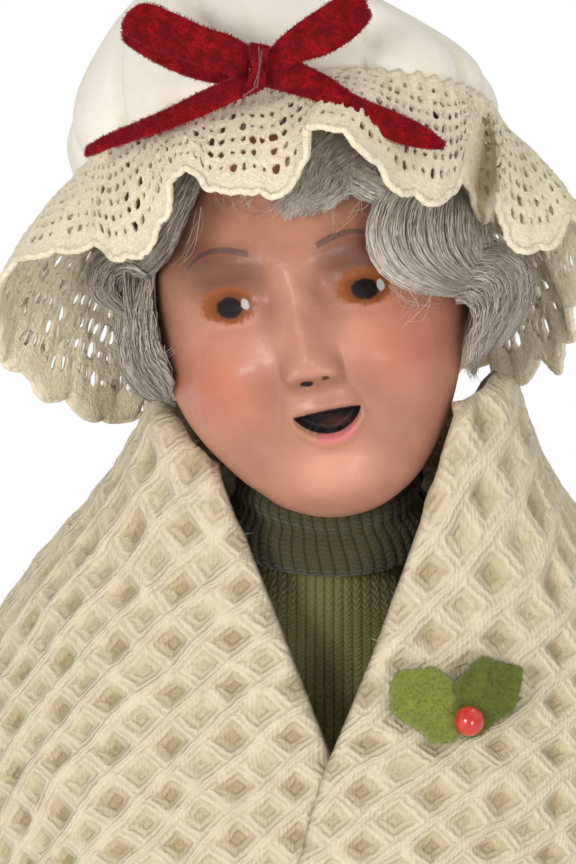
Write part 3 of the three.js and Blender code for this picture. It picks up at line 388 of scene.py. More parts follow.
def strandMesh(name, paths, radius, taper=0.35):  # thin three-sided strands along lists of points
    profile = bpy.data.curves.new(name + 'Profile', 'CURVE')
    profile.dimensions = '3D'
    ring = profile.splines.new('POLY')
    ring.points.add(2)
    for index, point in enumerate(ring.points):
        angle = index * math.tau / 3
        point.co = (radius * math.cos(angle), radius * math.sin(angle), 0, 1)
    ring.use_cyclic_u = True
    section = newObject(name + 'Profile', profile)
    mesh = curveMesh(name, paths, taper, bevel_mode='OBJECT', bevel_object=section, use_fill_caps=True)
    bpy.data.objects.remove(section)
    bpy.data.curves.remove(profile)
    return mesh


def tubeMesh(name, path, radius, sides=8, cyclic=False):
    return curveMesh(name, [path], cyclic=cyclic, bevel_depth=radius, bevel_resolution=max(sides // 2 - 2, 0),
                     use_fill_caps=not cyclic)


def spunMesh(name, profile, steps, place=(0, 0, 0)):  # radii and heights turned about Z, open ends filled
    bm = bmesh.new()
    corners = [bm.verts.new((reach, 0, height)) for reach, height in profile]
    for first, second in zip(corners, corners[1:]):
        bm.edges.new((first, second))
    bmesh.ops.spin(bm, geom=bm.verts[:] + bm.edges[:], cent=(0, 0, 0), axis=(0, 0, 1), angle=math.tau,
                   steps=steps, use_merge=True)
    bmesh.ops.remove_doubles(bm, verts=bm.verts, dist=0.001)
    bmesh.ops.holes_fill(bm, edges=bm.edges[:], sides=steps)
    bmesh.ops.recalc_face_normals(bm, faces=bm.faces)
    bmesh.ops.translate(bm, vec=place, verts=bm.verts)
    return takeMesh(bm, name)


def smoothStep(value):
    held = np.clip(value, 0, 1)
    return held * held * (3 - 2 * held)


def bump(across, along, width, height):
    return np.exp(-((across / width) ** 2) - (along / height) ** 2)


def ripple(x, y, z, scale):  # soft irregular variation from -1 to 1
    a = np.sin(x * scale * 1.3 + 1.7 * np.sin(y * scale * 0.7 + 0.4)) * np.cos(z * scale * 1.1 + 0.9)
    b = np.sin(y * scale * 1.7 + 2.1 + 1.3 * np.sin(z * scale * 0.8)) * np.cos(x * scale * 0.9 - 0.6)
    return (a + b) / 2


def splinePath(points, count):  # smooth path through points, evenly spaced
    knots = np.array(points, float)
    ends = np.vstack([2 * knots[0] - knots[1], knots, 2 * knots[-1] - knots[-2]])
    dense = []
    for index in range(len(knots) - 1):
        p0, p1, p2, p3 = ends[index:index + 4]
        for share in np.linspace(0, 1, 24, endpoint=False):
            dense.append(0.5 * ((2 * p1) + (p2 - p0) * share + (2 * p0 - 5 * p1 + 4 * p2 - p3) * share ** 2
                                + (3 * p1 - p0 - 3 * p2 + p3) * share ** 3))
    dense.append(knots[-1])
    dense = np.array(dense)
    run = np.concatenate([[0], np.cumsum(np.linalg.norm(np.diff(dense, axis=0), axis=1))])
    wanted = np.linspace(0, run[-1], count)
    return np.stack([np.interp(wanted, run, dense[:, axis]) for axis in range(dense.shape[1])], 1)


# Head frame
head = {
    'place': (-2.0, -6.0, 284.2),
    'roll': -9,
    'tilt': -10,
    'width': 40.4,
    'depth': 43,
    'height': 54,
    'aside': -0.5,
    'chinReach': 33.2,
    'napeHeight': 17,
    'faceAside': -1.9,
    'faceLean': 4,
    'eyeSpacing': 17,
}
neckProfile = ((6.4, 3.0), (7.1, 3.6), (7.2, 6.0), (7.0, 12.0), (7.3, 18.0), (8.4, 22.0))
headTurn = np.array(Matrix.Rotation(math.radians(head['roll']), 3, 'Y')
                    @ Matrix.Rotation(math.radians(head['tilt']), 3, 'X'))
headPlace = np.array(head['place'])


def toWorld(points):  # from the head's own frame
    return points @ headTurn.T + headPlace


def toHead(points):
    return (points - headPlace) @ headTurn


def faceAcross(x, z):
    return x - head['faceAside'] + z * math.tan(math.radians(head['faceLean']))


def mouthTop(across):
    return -15.0 + 0.06 * across - 0.012 * across ** 2


def mouthBottom(across):
    inside = np.clip(1 - ((across - 0.5) / 4.5) ** 2, 0, 1)
    return -15.25 - 3.0 * inside ** 0.75


def faceRelief(x, z):
    across = faceAcross(x, z)
    eye = head['eyeSpacing'] / 2

    def pair(aside, level, width, height):
        return bump(across - aside, z - level, width, height) + bump(across + aside, z - level, width, height)

    ridge = np.interp(z, [-12.4, -11.2, -9.9, -8.0, -5.0, -1.0, 3.0, 7.0],
                      [0, 1.1, 3.2, 3.7, 2.5, 1.5, 0.9, 0.0])
    ridgeWidth = np.interp(z, [-11, -8.5, -5, 0, 6], [2.7, 2.8, 2.5, 2.3, 2.6])
    nose = ridge * np.exp(-(np.abs(across) / ridgeWidth) ** 2)
    wings = 1.5 * pair(2.5, -9.8, 1.25, 1.35)
    wingFolds = -0.45 * pair(3.9, -9.6, 0.6, 2.0)
    nostrils = -1.3 * bump(across + 1.15, z + 11.2, 0.75, 0.4) - 1.0 * bump(across - 1.3, z + 11.0, 0.5, 0.35)
    brows = 1.0 * pair(eye, 5.6, 6.5, 2.8)
    sockets = -1.9 * pair(eye, 0.2, 4.6, 3.2)
    innerCorners = -0.9 * pair(3.6, 0.4, 1.6, 2.6)
    eyeballs = 1.0 * pair(eye, -0.3, 2.9, 1.9)
    lidFolds = -0.28 * pair(eye, 2.7, 4.2, 0.6) - 0.22 * pair(eye, -2.9, 3.8, 0.5)
    cheeks = 2.1 * pair(10.4, -9.4, 5.2, 4.4)
    smile = np.exp(-((np.abs(across) - 5.4 + 0.28 * (z + 14)) / 0.9) ** 2)
    smileFolds = -0.55 * (smile * bump(0, z + 13.5, 1, 3.2))
    muzzle = 1.3 * bump(across - 0.3, z + 15.4, 5.6, 4.0)
    upperLip = 0.35 * np.exp(-((z - mouthTop(across) - 0.7) / 0.6) ** 2) * bump(across - 0.2, 0, 4.2, 1)
    lowerLip = 0.75 * np.exp(-((z - mouthBottom(across) + 0.75) / 0.7) ** 2) * bump(across - 0.6, 0, 3.6, 1)
    parted = smoothStep((mouthTop(across) - z) / 0.45) * smoothStep((z - mouthBottom(across)) / 0.45)
    cavity = -2.6 * parted * smoothStep((4.9 - np.abs(across - 0.2)) / 0.5)
    lipCrease = -0.5 * bump(across - 0.4, z + 21.0, 3.6, 0.9)
    chin = 1.6 * bump(across, z + 24.8, 5.6, 3.4)
    uneven = 0.12 * ripple(x, z, z * 0.5, 0.55)
    return (nose + wings + wingFolds + nostrils + brows + sockets + innerCorners + eyeballs + lidFolds
            + cheeks + smileFolds + muzzle + upperLip + lowerLip + cavity + lipCrease + chin + uneven)


def skullPoint(azimuth, elevation, margin):
    flat = np.cos(elevation)
    wide = np.where(elevation < 0, np.power(np.clip(flat, 0, 1), 0.84), flat)
    x = (head['width'] / 2 + margin) * wide * np.sin(azimuth)
    x = x + head['aside'] * smoothStep(1 - np.abs(elevation) / 1.3)
    x = x - 1.3 * bump(elevation + 0.47, 0, 0.26, 1) * smoothStep(-x / 14)
    y = -(head['depth'] / 2 + margin) * flat * np.cos(azimuth)
    backShare = smoothStep((y + head['depth'] * 0.28) / (head['depth'] * 0.42))
    below = head['chinReach'] + (head['napeHeight'] - head['chinReach']) * backShare + margin
    z = np.where(elevation < 0, below, head['height'] / 2 + margin) * np.sin(elevation)
    return np.stack([x, y, z], -1)


def headPoint(azimuth, elevation, margin=0.0):
    point = skullPoint(azimuth, elevation, margin)
    turned = np.abs(np.arctan2(np.sin(azimuth), np.cos(azimuth)))
    facing = smoothStep((math.radians(66) - turned) / math.radians(20))
    outward = point * np.array([1, 1, 0.3])
    outward = outward / np.maximum(np.linalg.norm(outward, axis=-1, keepdims=True), 1e-6)
    return point + outward * (facing * faceRelief(point[..., 0], point[..., 2]))[..., None]


# Painted clay
clay = {
    'base': paint(180, 124, 100),
    'warm': paint(190, 134, 109),
    # a lighter peach painted on the cheek tops and chin, a painted highlight
    'peachHighlight': paint(216, 156, 130),
    'cheek': paint(198, 112, 86),
    # a dark brown painted into the eye sockets, beside and under the nose, on the cheek, at the jaw sides and
    # above the mouth, a painted shade
    'shade': paint(114, 72, 54),
    'iris': paint(150, 80, 34),
    'irisDark': paint(104, 52, 20),
    'pupil': paint(18, 8, 4),
    'glint': paint(186, 182, 176),
    'brow': paint(104, 82, 74),
    'mouth': paint(14, 8, 7),
    'tongue': paint(92, 40, 26),
    'lip': paint(206, 112, 112),
    'hand': paint(196, 136, 112),
    'handMottle': paint(176, 110, 88),
    'handFlush': paint(204, 108, 88),
}
faceTints = (  # side, level, width, height, softness, roughness, strength, tone
    # the first three rows are a painted highlight on the cheek tops under the eyes and on the chin
    (-8.6, -5.4, 6.0, 3.4, 0.8, 0.25, 0.7, 'peachHighlight'),
    (9.6, -5.2, 5.6, 3.0, 0.8, 0.25, 0.7, 'peachHighlight'),
    (0.4, -22.5, 5.6, 3.0, 0.8, 0.25, 0.7, 'peachHighlight'),
    (-13.0, -9.8, 5.2, 5.0, 0.9, 0.25, 0.6, 'cheek'),
    (12.8, -7.6, 5.4, 5.6, 0.9, 0.25, 0.6, 'cheek'),
    # the shade rows from here on are painted shade: eye sockets, inner corners, beside the nose bridge, by
    # the nose wings, mid cheek, jaw sides and under the nose
    (-9.0, 4.0, 5.2, 3.4, 0.6, 0.2, 0.92, 'shade'),
    (9.2, 3.8, 5.2, 3.4, 0.6, 0.2, 0.92, 'shade'),
    (-5.4, 3.4, 1.6, 2.6, 0.8, 0.2, 0.4, 'shade'),
    (5.6, 3.4, 1.6, 2.6, 0.8, 0.2, 0.4, 'shade'),
    (-4.3, -0.8, 1.5, 4.6, 0.7, 0.2, 0.34, 'shade'),
    (4.6, -0.6, 1.5, 4.6, 0.7, 0.2, 0.34, 'shade'),
    (-6.2, -12.4, 1.7, 2.6, 0.8, 0.2, 0.22, 'shade'),
    (6.6, -12.2, 1.7, 2.6, 0.8, 0.2, 0.22, 'shade'),
    (-6.2, -7.6, 3.0, 4.2, 0.9, 0.2, 0.2, 'shade'),
    (-9.5, -19.5, 4.5, 4.0, 0.9, 0.2, 0.2, 'shade'),
    (9.0, -19.5, 3.6, 4.0, 0.9, 0.2, 0.2, 'shade'),
    (0, -11.6, 3.4, 1.0, 0.7, 0.2, 0.4, 'shade'),
)
eyeTints = (  # the same, from the middle of each eye
    (0, 0.15, 3.6, 2.45, 0.16, 0.5, 1, 'iris'),
    (0.3, 0, 2.7, 1.9, 0.25, 0.5, 0.6, 'irisDark'),
    (0.1, -0.2, 1.72, 1.36, 0.14, 0.3, 1, 'pupil'),
    (2.15, 0, 0.5, 0.72, 0.14, 0.7, 1, 'glint'),
    (-2.4, -2.1, 0.672, 0.42, 0.4, 0.3, 0.6, 'warm'),
    (-1.3, -2.1, 0.48, 0.3, 0.4, 0.3, 0.6, 'warm'),
)
nostrilTints = (
    (-1.05, -11.25, 0.85, 0.38, 0.2, 0.3, 1, 'mouth'),
    (1.45, -10.85, 0.5, 0.26, 0.3, 0.3, 0.85, 'mouth'),
)


def clayMaterial():
    finish = Finish('paintedClay', clay['base'], Roughness=0.36, Specular_IOR_Level=0.36, Coat_Weight=0.07,
                    Coat_Roughness=0.2, Subsurface_Weight=0.05, Subsurface_Scale=0.002,
                    Subsurface_Radius=(1.0, 0.4, 0.25))
    side, up = finish.cloth()
    z = up * 100 - 50
    across = faceAcross(side * 100 - 50, z)
    wobble = finish.noise(1.6, 3) - 0.5

    def oval(side, level, width, height, soft, rough):
        dx = (across - side) / width
        dz = (z - level) / height
        reach = (dx * dx + dz * dz).step('SQRT') + wobble * rough
        return reach.fade(1 + soft, 1 - soft)

    def dab(tints, middle=(0, 0)):
        for side, level, width, height, soft, rough, strength, tone in tints:
            spot = oval(middle[0] + side, middle[1] + level, width, height, soft, rough)
            finish.layer(spot * strength, clay[tone])

    finish.layer(finish.noise(0.16, 4, 0.55).fade(0.35, 0.65), clay['warm'])
    dab(faceTints)
    for side, tip, middle, spread in ((-1, 0.05, 8.9, 4.2), (1, -0.2, 8.4, 4.4)):  # brows
        shift = (across * side - middle) / spread
        arch = shift * shift * (shift * 0.35 + 1.25) * (-1.25) + 7.2 + tip
        thick = shift.fade(1.25, -0.6, 0.2, 0.44)
        stroke = ((z - arch).step('ABSOLUTE') / thick).fade(1.3, 0.7)
        stroke = stroke * shift.step('ABSOLUTE').fade(1.04, 0.96)
        finish.layer(stroke * finish.noise(3.2, 2).fade(0.2, 0.6, 0.6, 0.95), clay['brow'])
    dab(eyeTints, (-8.75, -0.05))
    dab(eyeTints, (8.7, -0.3))
    dab(nostrilTints)

    reach = (across - 0.5) / 4.5
    beyond = reach.step('ABSOLUTE')
    inside = (reach * reach * (-1.0) + 1.0).step('MAXIMUM', 0.0)
    top = across * 0.06 + across * across * (-0.012) - 14.85
    bottom = inside.step('POWER', 0.75) * (-3.0) - 15.2
    below = (top - z + wobble * 0.2).fade(0.0, 0.25)
    above = (z - bottom + wobble * 0.2).fade(0.0, 0.25)
    lip = (bottom - z).fade(1.5, 1.1) * (bottom - z).fade(-0.35, 0.0)
    lip = lip * ((across - 1.2) / 2.9).step('ABSOLUTE').fade(1.1, 0.7)
    finish.layer(lip * 0.9, clay['lip'])
    # a painted shade along the top edge of the mouth, under the upper lip
    rim = (top - z + 0.5).fade(0.0, 0.4) * (z - top + 0.1).fade(-0.3, 0.0) * beyond.fade(1.0, 0.8)
    finish.layer(rim * 0.35, clay['shade'])
    mouth = below * above * beyond.fade(1.02, 0.97)
    tongue = oval(1.6, -16.7, 1.8, 0.6, 0.6, 0.4) * 0.6
    finish.layer(mouth, finish.mix(tongue, clay['mouth'], clay['tongue']))
    grain = finish.noise(1.1, 5, 0.6)
    gloss = grain.fade(0.3, 0.7, 0.34, 0.50) + mouth * 0.25
    finish.tree.links.new(gloss.socket, finish.shader.inputs['Roughness'])
    return finish.done(finish.noise(0.5, 4, 0.5) + grain * 0.3, 0.3, 0.4)


def handMaterial():
    finish = Finish('handClay', clay['hand'], Roughness=0.36, Coat_Weight=0.25, Coat_Roughness=0.2)
    mottle = finish.noise(0.5, 5, 0.65)
    finish.layer(mottle.fade(0.35, 0.7), clay['handMottle'])
    finish.layer(finish.noise(0.14, 2).fade(0.5, 0.7) * 0.4, clay['handFlush'])
    return finish.done(mottle, 0.12, 0.6)


def addHead():
    def skin(u, v):
        turn = (u - 0.5) * math.tau
        return headPoint(turn - 0.55 * np.sin(turn), (v - 0.5) * math.pi)

    def faceMap(u, v):
        point = skin(u, v)
        behind = 60 * smoothStep((point[:, 1] + 3) / 6)
        return np.stack([(point[:, 0] + behind + 50) / 100, (point[:, 2] + 50) / 100], -1)

    face = closeMesh(gridMesh('face', 240, 200, skin, faceMap))
    face.vertices.foreach_set('co', toWorld(readPoints(face)).astype(np.float32).ravel())
    neck = spunMesh('neck', neckProfile, 40, (0, -4, 251))
    whole = joinMeshes('claySkin', [face, neck])
    addPiece('claySkin', whole, 'head', clayMaterial(), ['head'])
    print('head ready')


# Mohair
mohair = {
    'dark': paint(96, 88, 76),
    'middle': paint(214, 202, 184),
    'light': paint(252, 246, 234),
    'strandRadius': 0.052,
    'rollStrands': 1500,
    'curlStrands': 1050,
    'fringeStrands': 1150,
    'sweepStrands': 880,
    'fallStrands': 900,
    'fillStrands': 650,
    'gapStrands': 350,
    'backStrands': 1200,
    'wisps': 90,
}


def mohairMaterial(name, coarse):
    finish = Finish(name, mohair['dark'], Roughness=0.5, Specular_IOR_Level=0.35, Sheen_Weight=0.15)
    if coarse:
        finish.layer(finish.noise(1.2, 6, 0.7).fade(0.3, 0.75), mohair['middle'])
        return finish.done(finish.noise(4.0, 4), 0.5, 0.8)
    node = finish.tree.nodes.new('ShaderNodeAttribute')
    node.attribute_name = 'strandShade'
    shade = Level(finish.tree, node.outputs['Fac'])
    finish.layer(shade.fade(0.0, 0.5), mohair['middle'])
    finish.layer(shade.fade(0.5, 1.0), mohair['light'])
    finish.layer(finish.noise(0.9, 2).fade(0.3, 0.7, 0.0, 0.25), mohair['dark'])
    return finish.done()


mohairStrand = mohairMaterial('mohairStrand', False)
mohairMass = mohairMaterial('mohairMass', True)


def onHead(column, row, lift):  # the point on a shell round the skull that the view shows at a column and row
    place, rays = viewRay(column, row)
    size = np.array([head['width'], head['depth'], head['height']]) / 2 + lift[..., None]
    start = toHead(place) / size
    ray = rays @ headTurn / size
    a = (ray * ray).sum(-1)
    b = (start * ray).sum(-1)
    c = (start * start).sum(-1) - 1
    inner = b * b - a * c
    past = 0.6 * np.sqrt(np.maximum(-inner, 0))  # a ray past the shell's edge ends farther back
    run = (past - b - np.sqrt(np.maximum(inner, 0))) / a
    return place + rays * run[..., None]


def lockStrands(guides, count, lift, wave, stray, points=14):  # strands between guide lines of the view
    lines = np.stack([splinePath(guide, points) for guide in guides])
    share = scatter.random(count) * (len(guides) - 1)
    low = np.minimum(share.astype(int), len(guides) - 2)
    part = (share - low)[:, None, None]
    strands = lines[low] * (1 - part) + lines[low + 1] * part
    along = np.linspace(0, 1, points)
    group = (share * 5 + scatter.random(count)).astype(int)  # strands of a group wave together
    groups = scatter.random((group.max() + 1, 4))[group]
    turn = (1.6 + 1.8 * groups[:, :1]) * math.tau * along + groups[:, 1:2] * math.tau
    turn = turn + scatter.normal(0, 1.1, (count, 1))
    spread = (0.35 + 0.65 * along) * wave * (0.3 + 1.2 * scatter.random((count, 1)))
    phase = scatter.random((count, 1)) * math.tau
    fine = 0.4 * wave * np.sin(5 * math.tau * along * (0.6 + groups[:, 2:3]) + phase)
    strands[..., 0] += spread * np.sin(turn) + fine + scatter.normal(0, stray, (count, 1))
    strands[..., 1] += spread * np.cos(turn * 0.9) + scatter.normal(0, stray, (count, 1))
    swell = np.sin(math.pi * (0.10 + 0.82 * along)) ** 0.7
    side = np.sin(math.pi * (0.08 + 0.84 * share / (len(guides) - 1)))[:, None] ** 0.5
    depth = np.sqrt(scatter.random((count, 1)))
    height = 0.5 + (lift - 0.5) * swell * side * (0.35 + 0.65 * depth) + 0.25 * np.sin(turn * 1.3 + 2)
    return list(onHead(strands[..., 0], strands[..., 1], np.maximum(height, 0.4)))


def shellStrands(count, azimuths, levels, lift, curl, points=11):  # strands that fall from under the cap
    paths = []
    for _ in range(count):
        azimuth = random.uniform(*azimuths)
        along = np.linspace(0, 1, points)
        start = levels[0] + random.uniform(-3, 3)
        end = levels[1] + random.uniform(-7, 7)
        turns = random.uniform(0.8, 1.7)
        phase = random.uniform(0, math.tau)
        sway = curl * (0.25 + 0.75 * along) * np.sin(turns * math.tau * along + phase)
        roll = 0.6 * curl * np.cos(turns * math.tau * along + phase)
        elevation = np.radians(start + (end - start) * along + roll)
        depth = lift * math.sqrt(random.random())
        swell = 0.9 + depth * np.sin(math.pi * (0.12 + 0.8 * along)) ** 0.7
        paths.append(toWorld(skullPoint(np.radians(azimuth + sway), elevation, swell)))
    return paths


def lockBase(name, azimuths, levels, lift, ridges):  # the soft mass under the strands
    def shape(u, v):
        azimuth = np.radians(azimuths[0] + (azimuths[1] - azimuths[0]) * u)
        elevation = np.radians(levels[0] + (levels[1] - levels[0]) * v)
        swell = np.sqrt(np.sin(math.pi * (0.02 + 0.96 * u)) * np.sin(math.pi * (0.04 + 0.92 * v)))
        groove = 0.88 - 0.12 * np.cos(ridges * math.tau * (u + 0.22 * np.sin(3 * v)))
        return toWorld(skullPoint(azimuth, elevation, -0.8 + (lift + 1.2) * swell * groove))
    return closeMesh(gridMesh(name, 60, 40, shape), thickness=0.35)


def shadeStrands(mesh, paths, shades):  # end caps come first, last strand foremost, then the strands in order
    lengths = [3 * len(path) for path in paths]
    values = np.concatenate([np.repeat(shades[::-1], 6), np.repeat(shades, lengths)])
    attribute = mesh.attributes.new('strandShade', 'FLOAT', 'POINT')
    attribute.data.foreach_set('value', values.astype(np.float32))


# tone is a lock's mean lightness; the calls below paint light on the fringe and right locks and shade on the
# left locks
def addHairPiece(name, paths, node, bases=(), tone=0.5):
    strands = strandMesh(name, paths, mohair['strandRadius'])
    shadeStrands(strands, paths, np.clip(scatter.normal(tone, 0.3, len(paths)), 0, 1))
    addPiece(name, strands, 'head', mohairStrand, [node])
    if bases:
        base = addPiece(name + 'Base', joinMeshes(name + 'Base', bases), 'head', mohairMass)


def addHair():
    fringe = [
        [(300, 124), (290, 150), (286, 182), (280, 212)],
        [(320, 120), (304, 146), (298, 180), (284, 214)],
        [(342, 124), (320, 150), (308, 184), (288, 215)],
        [(360, 136), (338, 160), (322, 188), (298, 212)],
        [(370, 150), (352, 170), (336, 192), (308, 212)],
        [(374, 160), (360, 176), (346, 190), (324, 206)],
        [(372, 168), (364, 178), (354, 186), (342, 192)],
    ]
    bridge = [
        [(344, 150), (356, 164), (378, 176), (404, 184)],
        [(340, 164), (352, 178), (374, 190), (398, 198)],
        [(338, 178), (350, 188), (366, 197), (388, 206)],
    ]
    roll = [
        [(386, 186), (372, 210), (367, 236), (374, 262), (394, 281), (424, 292), (452, 295)],
        [(400, 184), (384, 208), (380, 236), (390, 260), (410, 278), (436, 289), (460, 292)],
        [(416, 184), (402, 208), (398, 234), (406, 256), (424, 273), (448, 284), (468, 288)],
        [(434, 184), (424, 208), (422, 232), (428, 252), (442, 268), (460, 278), (476, 284)],
        [(450, 186), (446, 210), (446, 232), (450, 250), (460, 264), (472, 274), (484, 280)],
        [(464, 190), (468, 214), (470, 234), (474, 250), (480, 262), (488, 272), (494, 280)],
        [(476, 196), (484, 218), (486, 236), (486, 250), (490, 262), (496, 272), (502, 282)],
    ]
    lower = [
        [(458, 268), (474, 248), (500, 244), (524, 260), (532, 284), (524, 312), (508, 336)],
        [(458, 274), (476, 258), (500, 256), (518, 270), (522, 290), (514, 314), (498, 342)],
        [(460, 282), (478, 270), (498, 272), (509, 286), (509, 304), (499, 326), (484, 350)],
        [(460, 290), (474, 284), (488, 288), (495, 302), (492, 322), (482, 342), (472, 362)],
        [(460, 300), (468, 300), (476, 308), (478, 324), (474, 344), (470, 362), (474, 378)],
    ]
    leftSweep = [
        [(204, 172), (196, 194), (184, 220), (173, 246), (160, 266), (146, 278), (136, 286)],
        [(194, 168), (184, 192), (172, 218), (160, 242), (146, 260), (132, 270), (120, 278)],
        [(184, 166), (172, 190), (160, 214), (146, 236), (130, 252), (114, 264), (104, 278)],
        [(174, 168), (160, 192), (144, 214), (126, 234), (110, 248), (98, 262), (92, 280)],
    ]
    leftCurl = [
        [(140, 262), (122, 250), (102, 252), (90, 266), (88, 286), (98, 302), (116, 312)],
        [(140, 268), (124, 258), (108, 260), (98, 272), (98, 288), (108, 302), (126, 312)],
        [(142, 274), (128, 267), (115, 269), (108, 280), (110, 294), (120, 305), (134, 312)],
        [(146, 280), (136, 276), (126, 279), (122, 288), (124, 298), (132, 306), (142, 312)],
    ]
    leftFall = [
        [(152, 276), (151, 300), (154, 326), (160, 350), (166, 372), (170, 388), (166, 402)],
        [(146, 278), (142, 302), (144, 330), (152, 356), (163, 368), (170, 384), (160, 398)],
        [(140, 282), (134, 306), (134, 334), (138, 362), (148, 382), (162, 396), (172, 402)],
        [(132, 290), (126, 314), (124, 340), (128, 366), (138, 386), (152, 397), (166, 403)],
        [(124, 300), (119, 322), (117, 344), (121, 366), (130, 384), (142, 396), (154, 402)],
    ]
    fringePaths = lockStrands(fringe, mohair['fringeStrands'], 3.2, 3.2, 2.2)
    fringePaths += lockStrands(bridge, int(mohair['fringeStrands'] * 0.45), 3.6, 2.6, 2.0)
    fringePaths += shellStrands(mohair['gapStrands'], (34, 84), (68, 46), 2.4, 6)
    # the tones 0.66, 0.64, 0.4 and 0.36 below are painted light on the fringe and right locks and painted
    # shade on the left locks
    addHairPiece('hairFringe', fringePaths, 'hair_fringe',
                 [lockBase('fringeBase', (2, 38), (45, 64), 1.2, 6),
                  lockBase('browBase', (-50, 4), (52, 64), 0.9, 6),
                  lockBase('partingBase', (30, 84), (46, 76), 1.0, 6)], 0.66)
    addHairPiece('hairRightRoll', lockStrands(roll, mohair['rollStrands'], 6.4, 1.1, 1.2), 'hair_right',
                 [lockBase('rightBase', (76, 122), (-10, 42), 1.4, 5)], 0.66)
    lowerPaths = lockStrands(lower, mohair['curlStrands'], 5.6, 3.0, 2.4)
    lowerPaths += shellStrands(mohair['fillStrands'], (76, 124), (36, -12), 3.6, 9)
    lowerPaths += shellStrands(mohair['gapStrands'], (74, 92), (12, -15), 2.2, 4)
    lowerPaths += shellStrands(mohair['gapStrands'], (96, 128), (6, -26), 3.0, 6)
    addHairPiece('hairRightFall', lowerPaths, 'hair_right', tone=0.64)
    sweepPaths = lockStrands(leftSweep, mohair['sweepStrands'], 4.6, 2.0, 1.6)
    sweepPaths += lockStrands(leftCurl, int(mohair['sweepStrands'] * 0.8), 5.6, 2.2, 2.0)
    addHairPiece('hairLeftSweep', sweepPaths, 'hair_left',
                 [lockBase('leftBase', (-122, -80), (-14, 42), 1.4, 5)], 0.4)
    fallPaths = lockStrands(leftFall, mohair['fallStrands'], 4.4, 2.6, 1.8)
    fallPaths += shellStrands(mohair['fillStrands'], (-124, -88), (34, -14), 3.4, 9)
    fallPaths += shellStrands(mohair['gapStrands'], (-128, -98), (6, -26), 3.0, 6)
    addHairPiece('hairLeftFall', fallPaths, 'hair_left', tone=0.36)
    backPaths = shellStrands(mohair['backStrands'], (118, 242), (30, -28), 3.8, 8)
    addHairPiece('hairBack', backPaths, 'hair_back', [lockBase('backBase', (104, 256), (-32, 38), 1.6, 7)])

    strays = []
    anchors = [(214, 184, 236, 214), (232, 186, 262, 210), (262, 188, 240, 206), (280, 192, 262, 214),
               (296, 190, 268, 206), (350, 186, 338, 232), (372, 200, 352, 214), (392, 280, 424, 308),
               (400, 286, 440, 300), (430, 288, 396, 326), (500, 250, 478, 262), (166, 352, 140, 376),
               (200, 212, 176, 262), (150, 384, 172, 402)]
    for number in range(mohair['wisps']):
        column, row, toColumn, toRow = anchors[number % len(anchors)]
        bend = (random.uniform(-14, 14), random.uniform(-6, 14))
        path = splinePath([
            (column + random.uniform(-12, 12), row + random.uniform(-10, 4)),
            ((column + toColumn) / 2 + bend[0], (row + toRow) / 2 + bend[1]),
            (toColumn + random.uniform(-12, 12), toRow + random.uniform(-8, 8)),
        ], 16)
        height = np.linspace(2.6, 0.7, 16) + random.uniform(0, 1.0)
        strays.append(onHead(path[:, 0], path[:, 1], height))
    wisps = strandMesh('hairWisps', strays, mohair['strandRadius'] * 0.62)
    shadeStrands(wisps, strays, scatter.random(len(strays)) * 0.8)
    addPiece('hairWisps', wisps, 'head', mohairStrand)
    print('hair ready')


# Mob cap
cap = {
    'place': (0, 1, 17),
    'tilt': -20,
    'band': 25,
    'crownWidth': 56.6,
    'crownAside': -0.7,
    'crownHeight': 29.6,
    'muslin': paint(246, 241, 227),
    'muslinWarm': paint(238, 230, 208),
    'fleck': paint(176, 160, 128),
    'weaveShade': paint(206, 196, 170),
    'weave': 0.34,
    'threadRing': 24.4,
    'crownTaper': 0.27,
    'crownLean': 3.6,
    'creases': (-171, -149, -128, -104, -78, -45, -11, 29, 60, 84, 104, 127, 150, 173),
}
capTurn = np.array(Matrix.Rotation(math.radians(cap['tilt']), 3, 'X'))
capPlace = np.array(cap['place'], float)


def fromCap(points):  # from the cap's frame to the world
    return toWorld(points @ capTurn.T + capPlace)


def crownLocal(azimuth, share):  # puffed cloth with sharp folds that fade towards the top
    puff = np.sqrt(np.clip(1 - share ** 2.2, 0, 1))
    puff = puff * (1 - cap['crownTaper'] * smoothStep((share - 0.18) / 0.6) * np.sin(azimuth) ** 2)
    creases = np.array(cap['creases'], float)
    bend = 4.5 * np.sin(share[:, None] * 3.2 + creases * 0.09)
    apart = (np.degrees(azimuth)[:, None] - creases + bend + 180) % 360 - 180
    nearest = np.min(np.abs(apart), axis=1)
    fade = np.clip(1 - share * 0.86, 0, 1) ** 0.9
    valley = -1.9 * np.exp(-(nearest / 1.9) ** 2) * np.clip(1 - share * 0.9, 0, 1)
    pillow = 1.5 * np.sqrt(np.clip(nearest / 13, 0, 1)) * fade - 0.6 * fade
    slack = 0.55 * ripple(np.sin(azimuth) * 6, np.cos(azimuth) * 6, share * 9, 1.0) * np.clip(share * 3, 0, 1)
    reach = cap['crownWidth'] / 2 * puff * (1 - 0.1 * np.exp(-share / 0.08))
    reach = reach + (valley + pillow + slack) * np.minimum(puff * 1.6, 1)
    height = 0.3 + (cap['crownHeight'] - 0.3) * share + 0.3 * slack * puff
    aside = cap['crownAside'] - cap['crownLean'] * smoothStep((share - 0.1) / 0.6)
    return np.stack([reach * np.sin(azimuth) + aside, -reach * np.cos(azimuth), height], -1)


def muslinMaterial():
    finish = Finish('muslin', cap['muslin'], Roughness=0.88, Sheen_Weight=0.12, Specular_IOR_Level=0.2)
    across, along = finish.cloth()
    finish.layer(finish.noise(0.09, 4, 0.6).fade(0.42, 0.72), cap['muslinWarm'])
    finish.layer(finish.noise(1.1, 2).fade(0.74, 0.8) * 0.35, cap['fleck'])
    rate = math.tau / cap['weave']
    warp = (across * rate + along * rate * 0.12).step('SINE')
    weft = (along * rate - across * rate * 0.12).step('SINE')
    finish.layer((warp * weft).fade(-0.6, 0.9) * 0.10, cap['weaveShade'])
    return finish.done(warp * weft * 0.5 + finish.noise(3.5, 3) * 0.8, 0.07, 0.6)


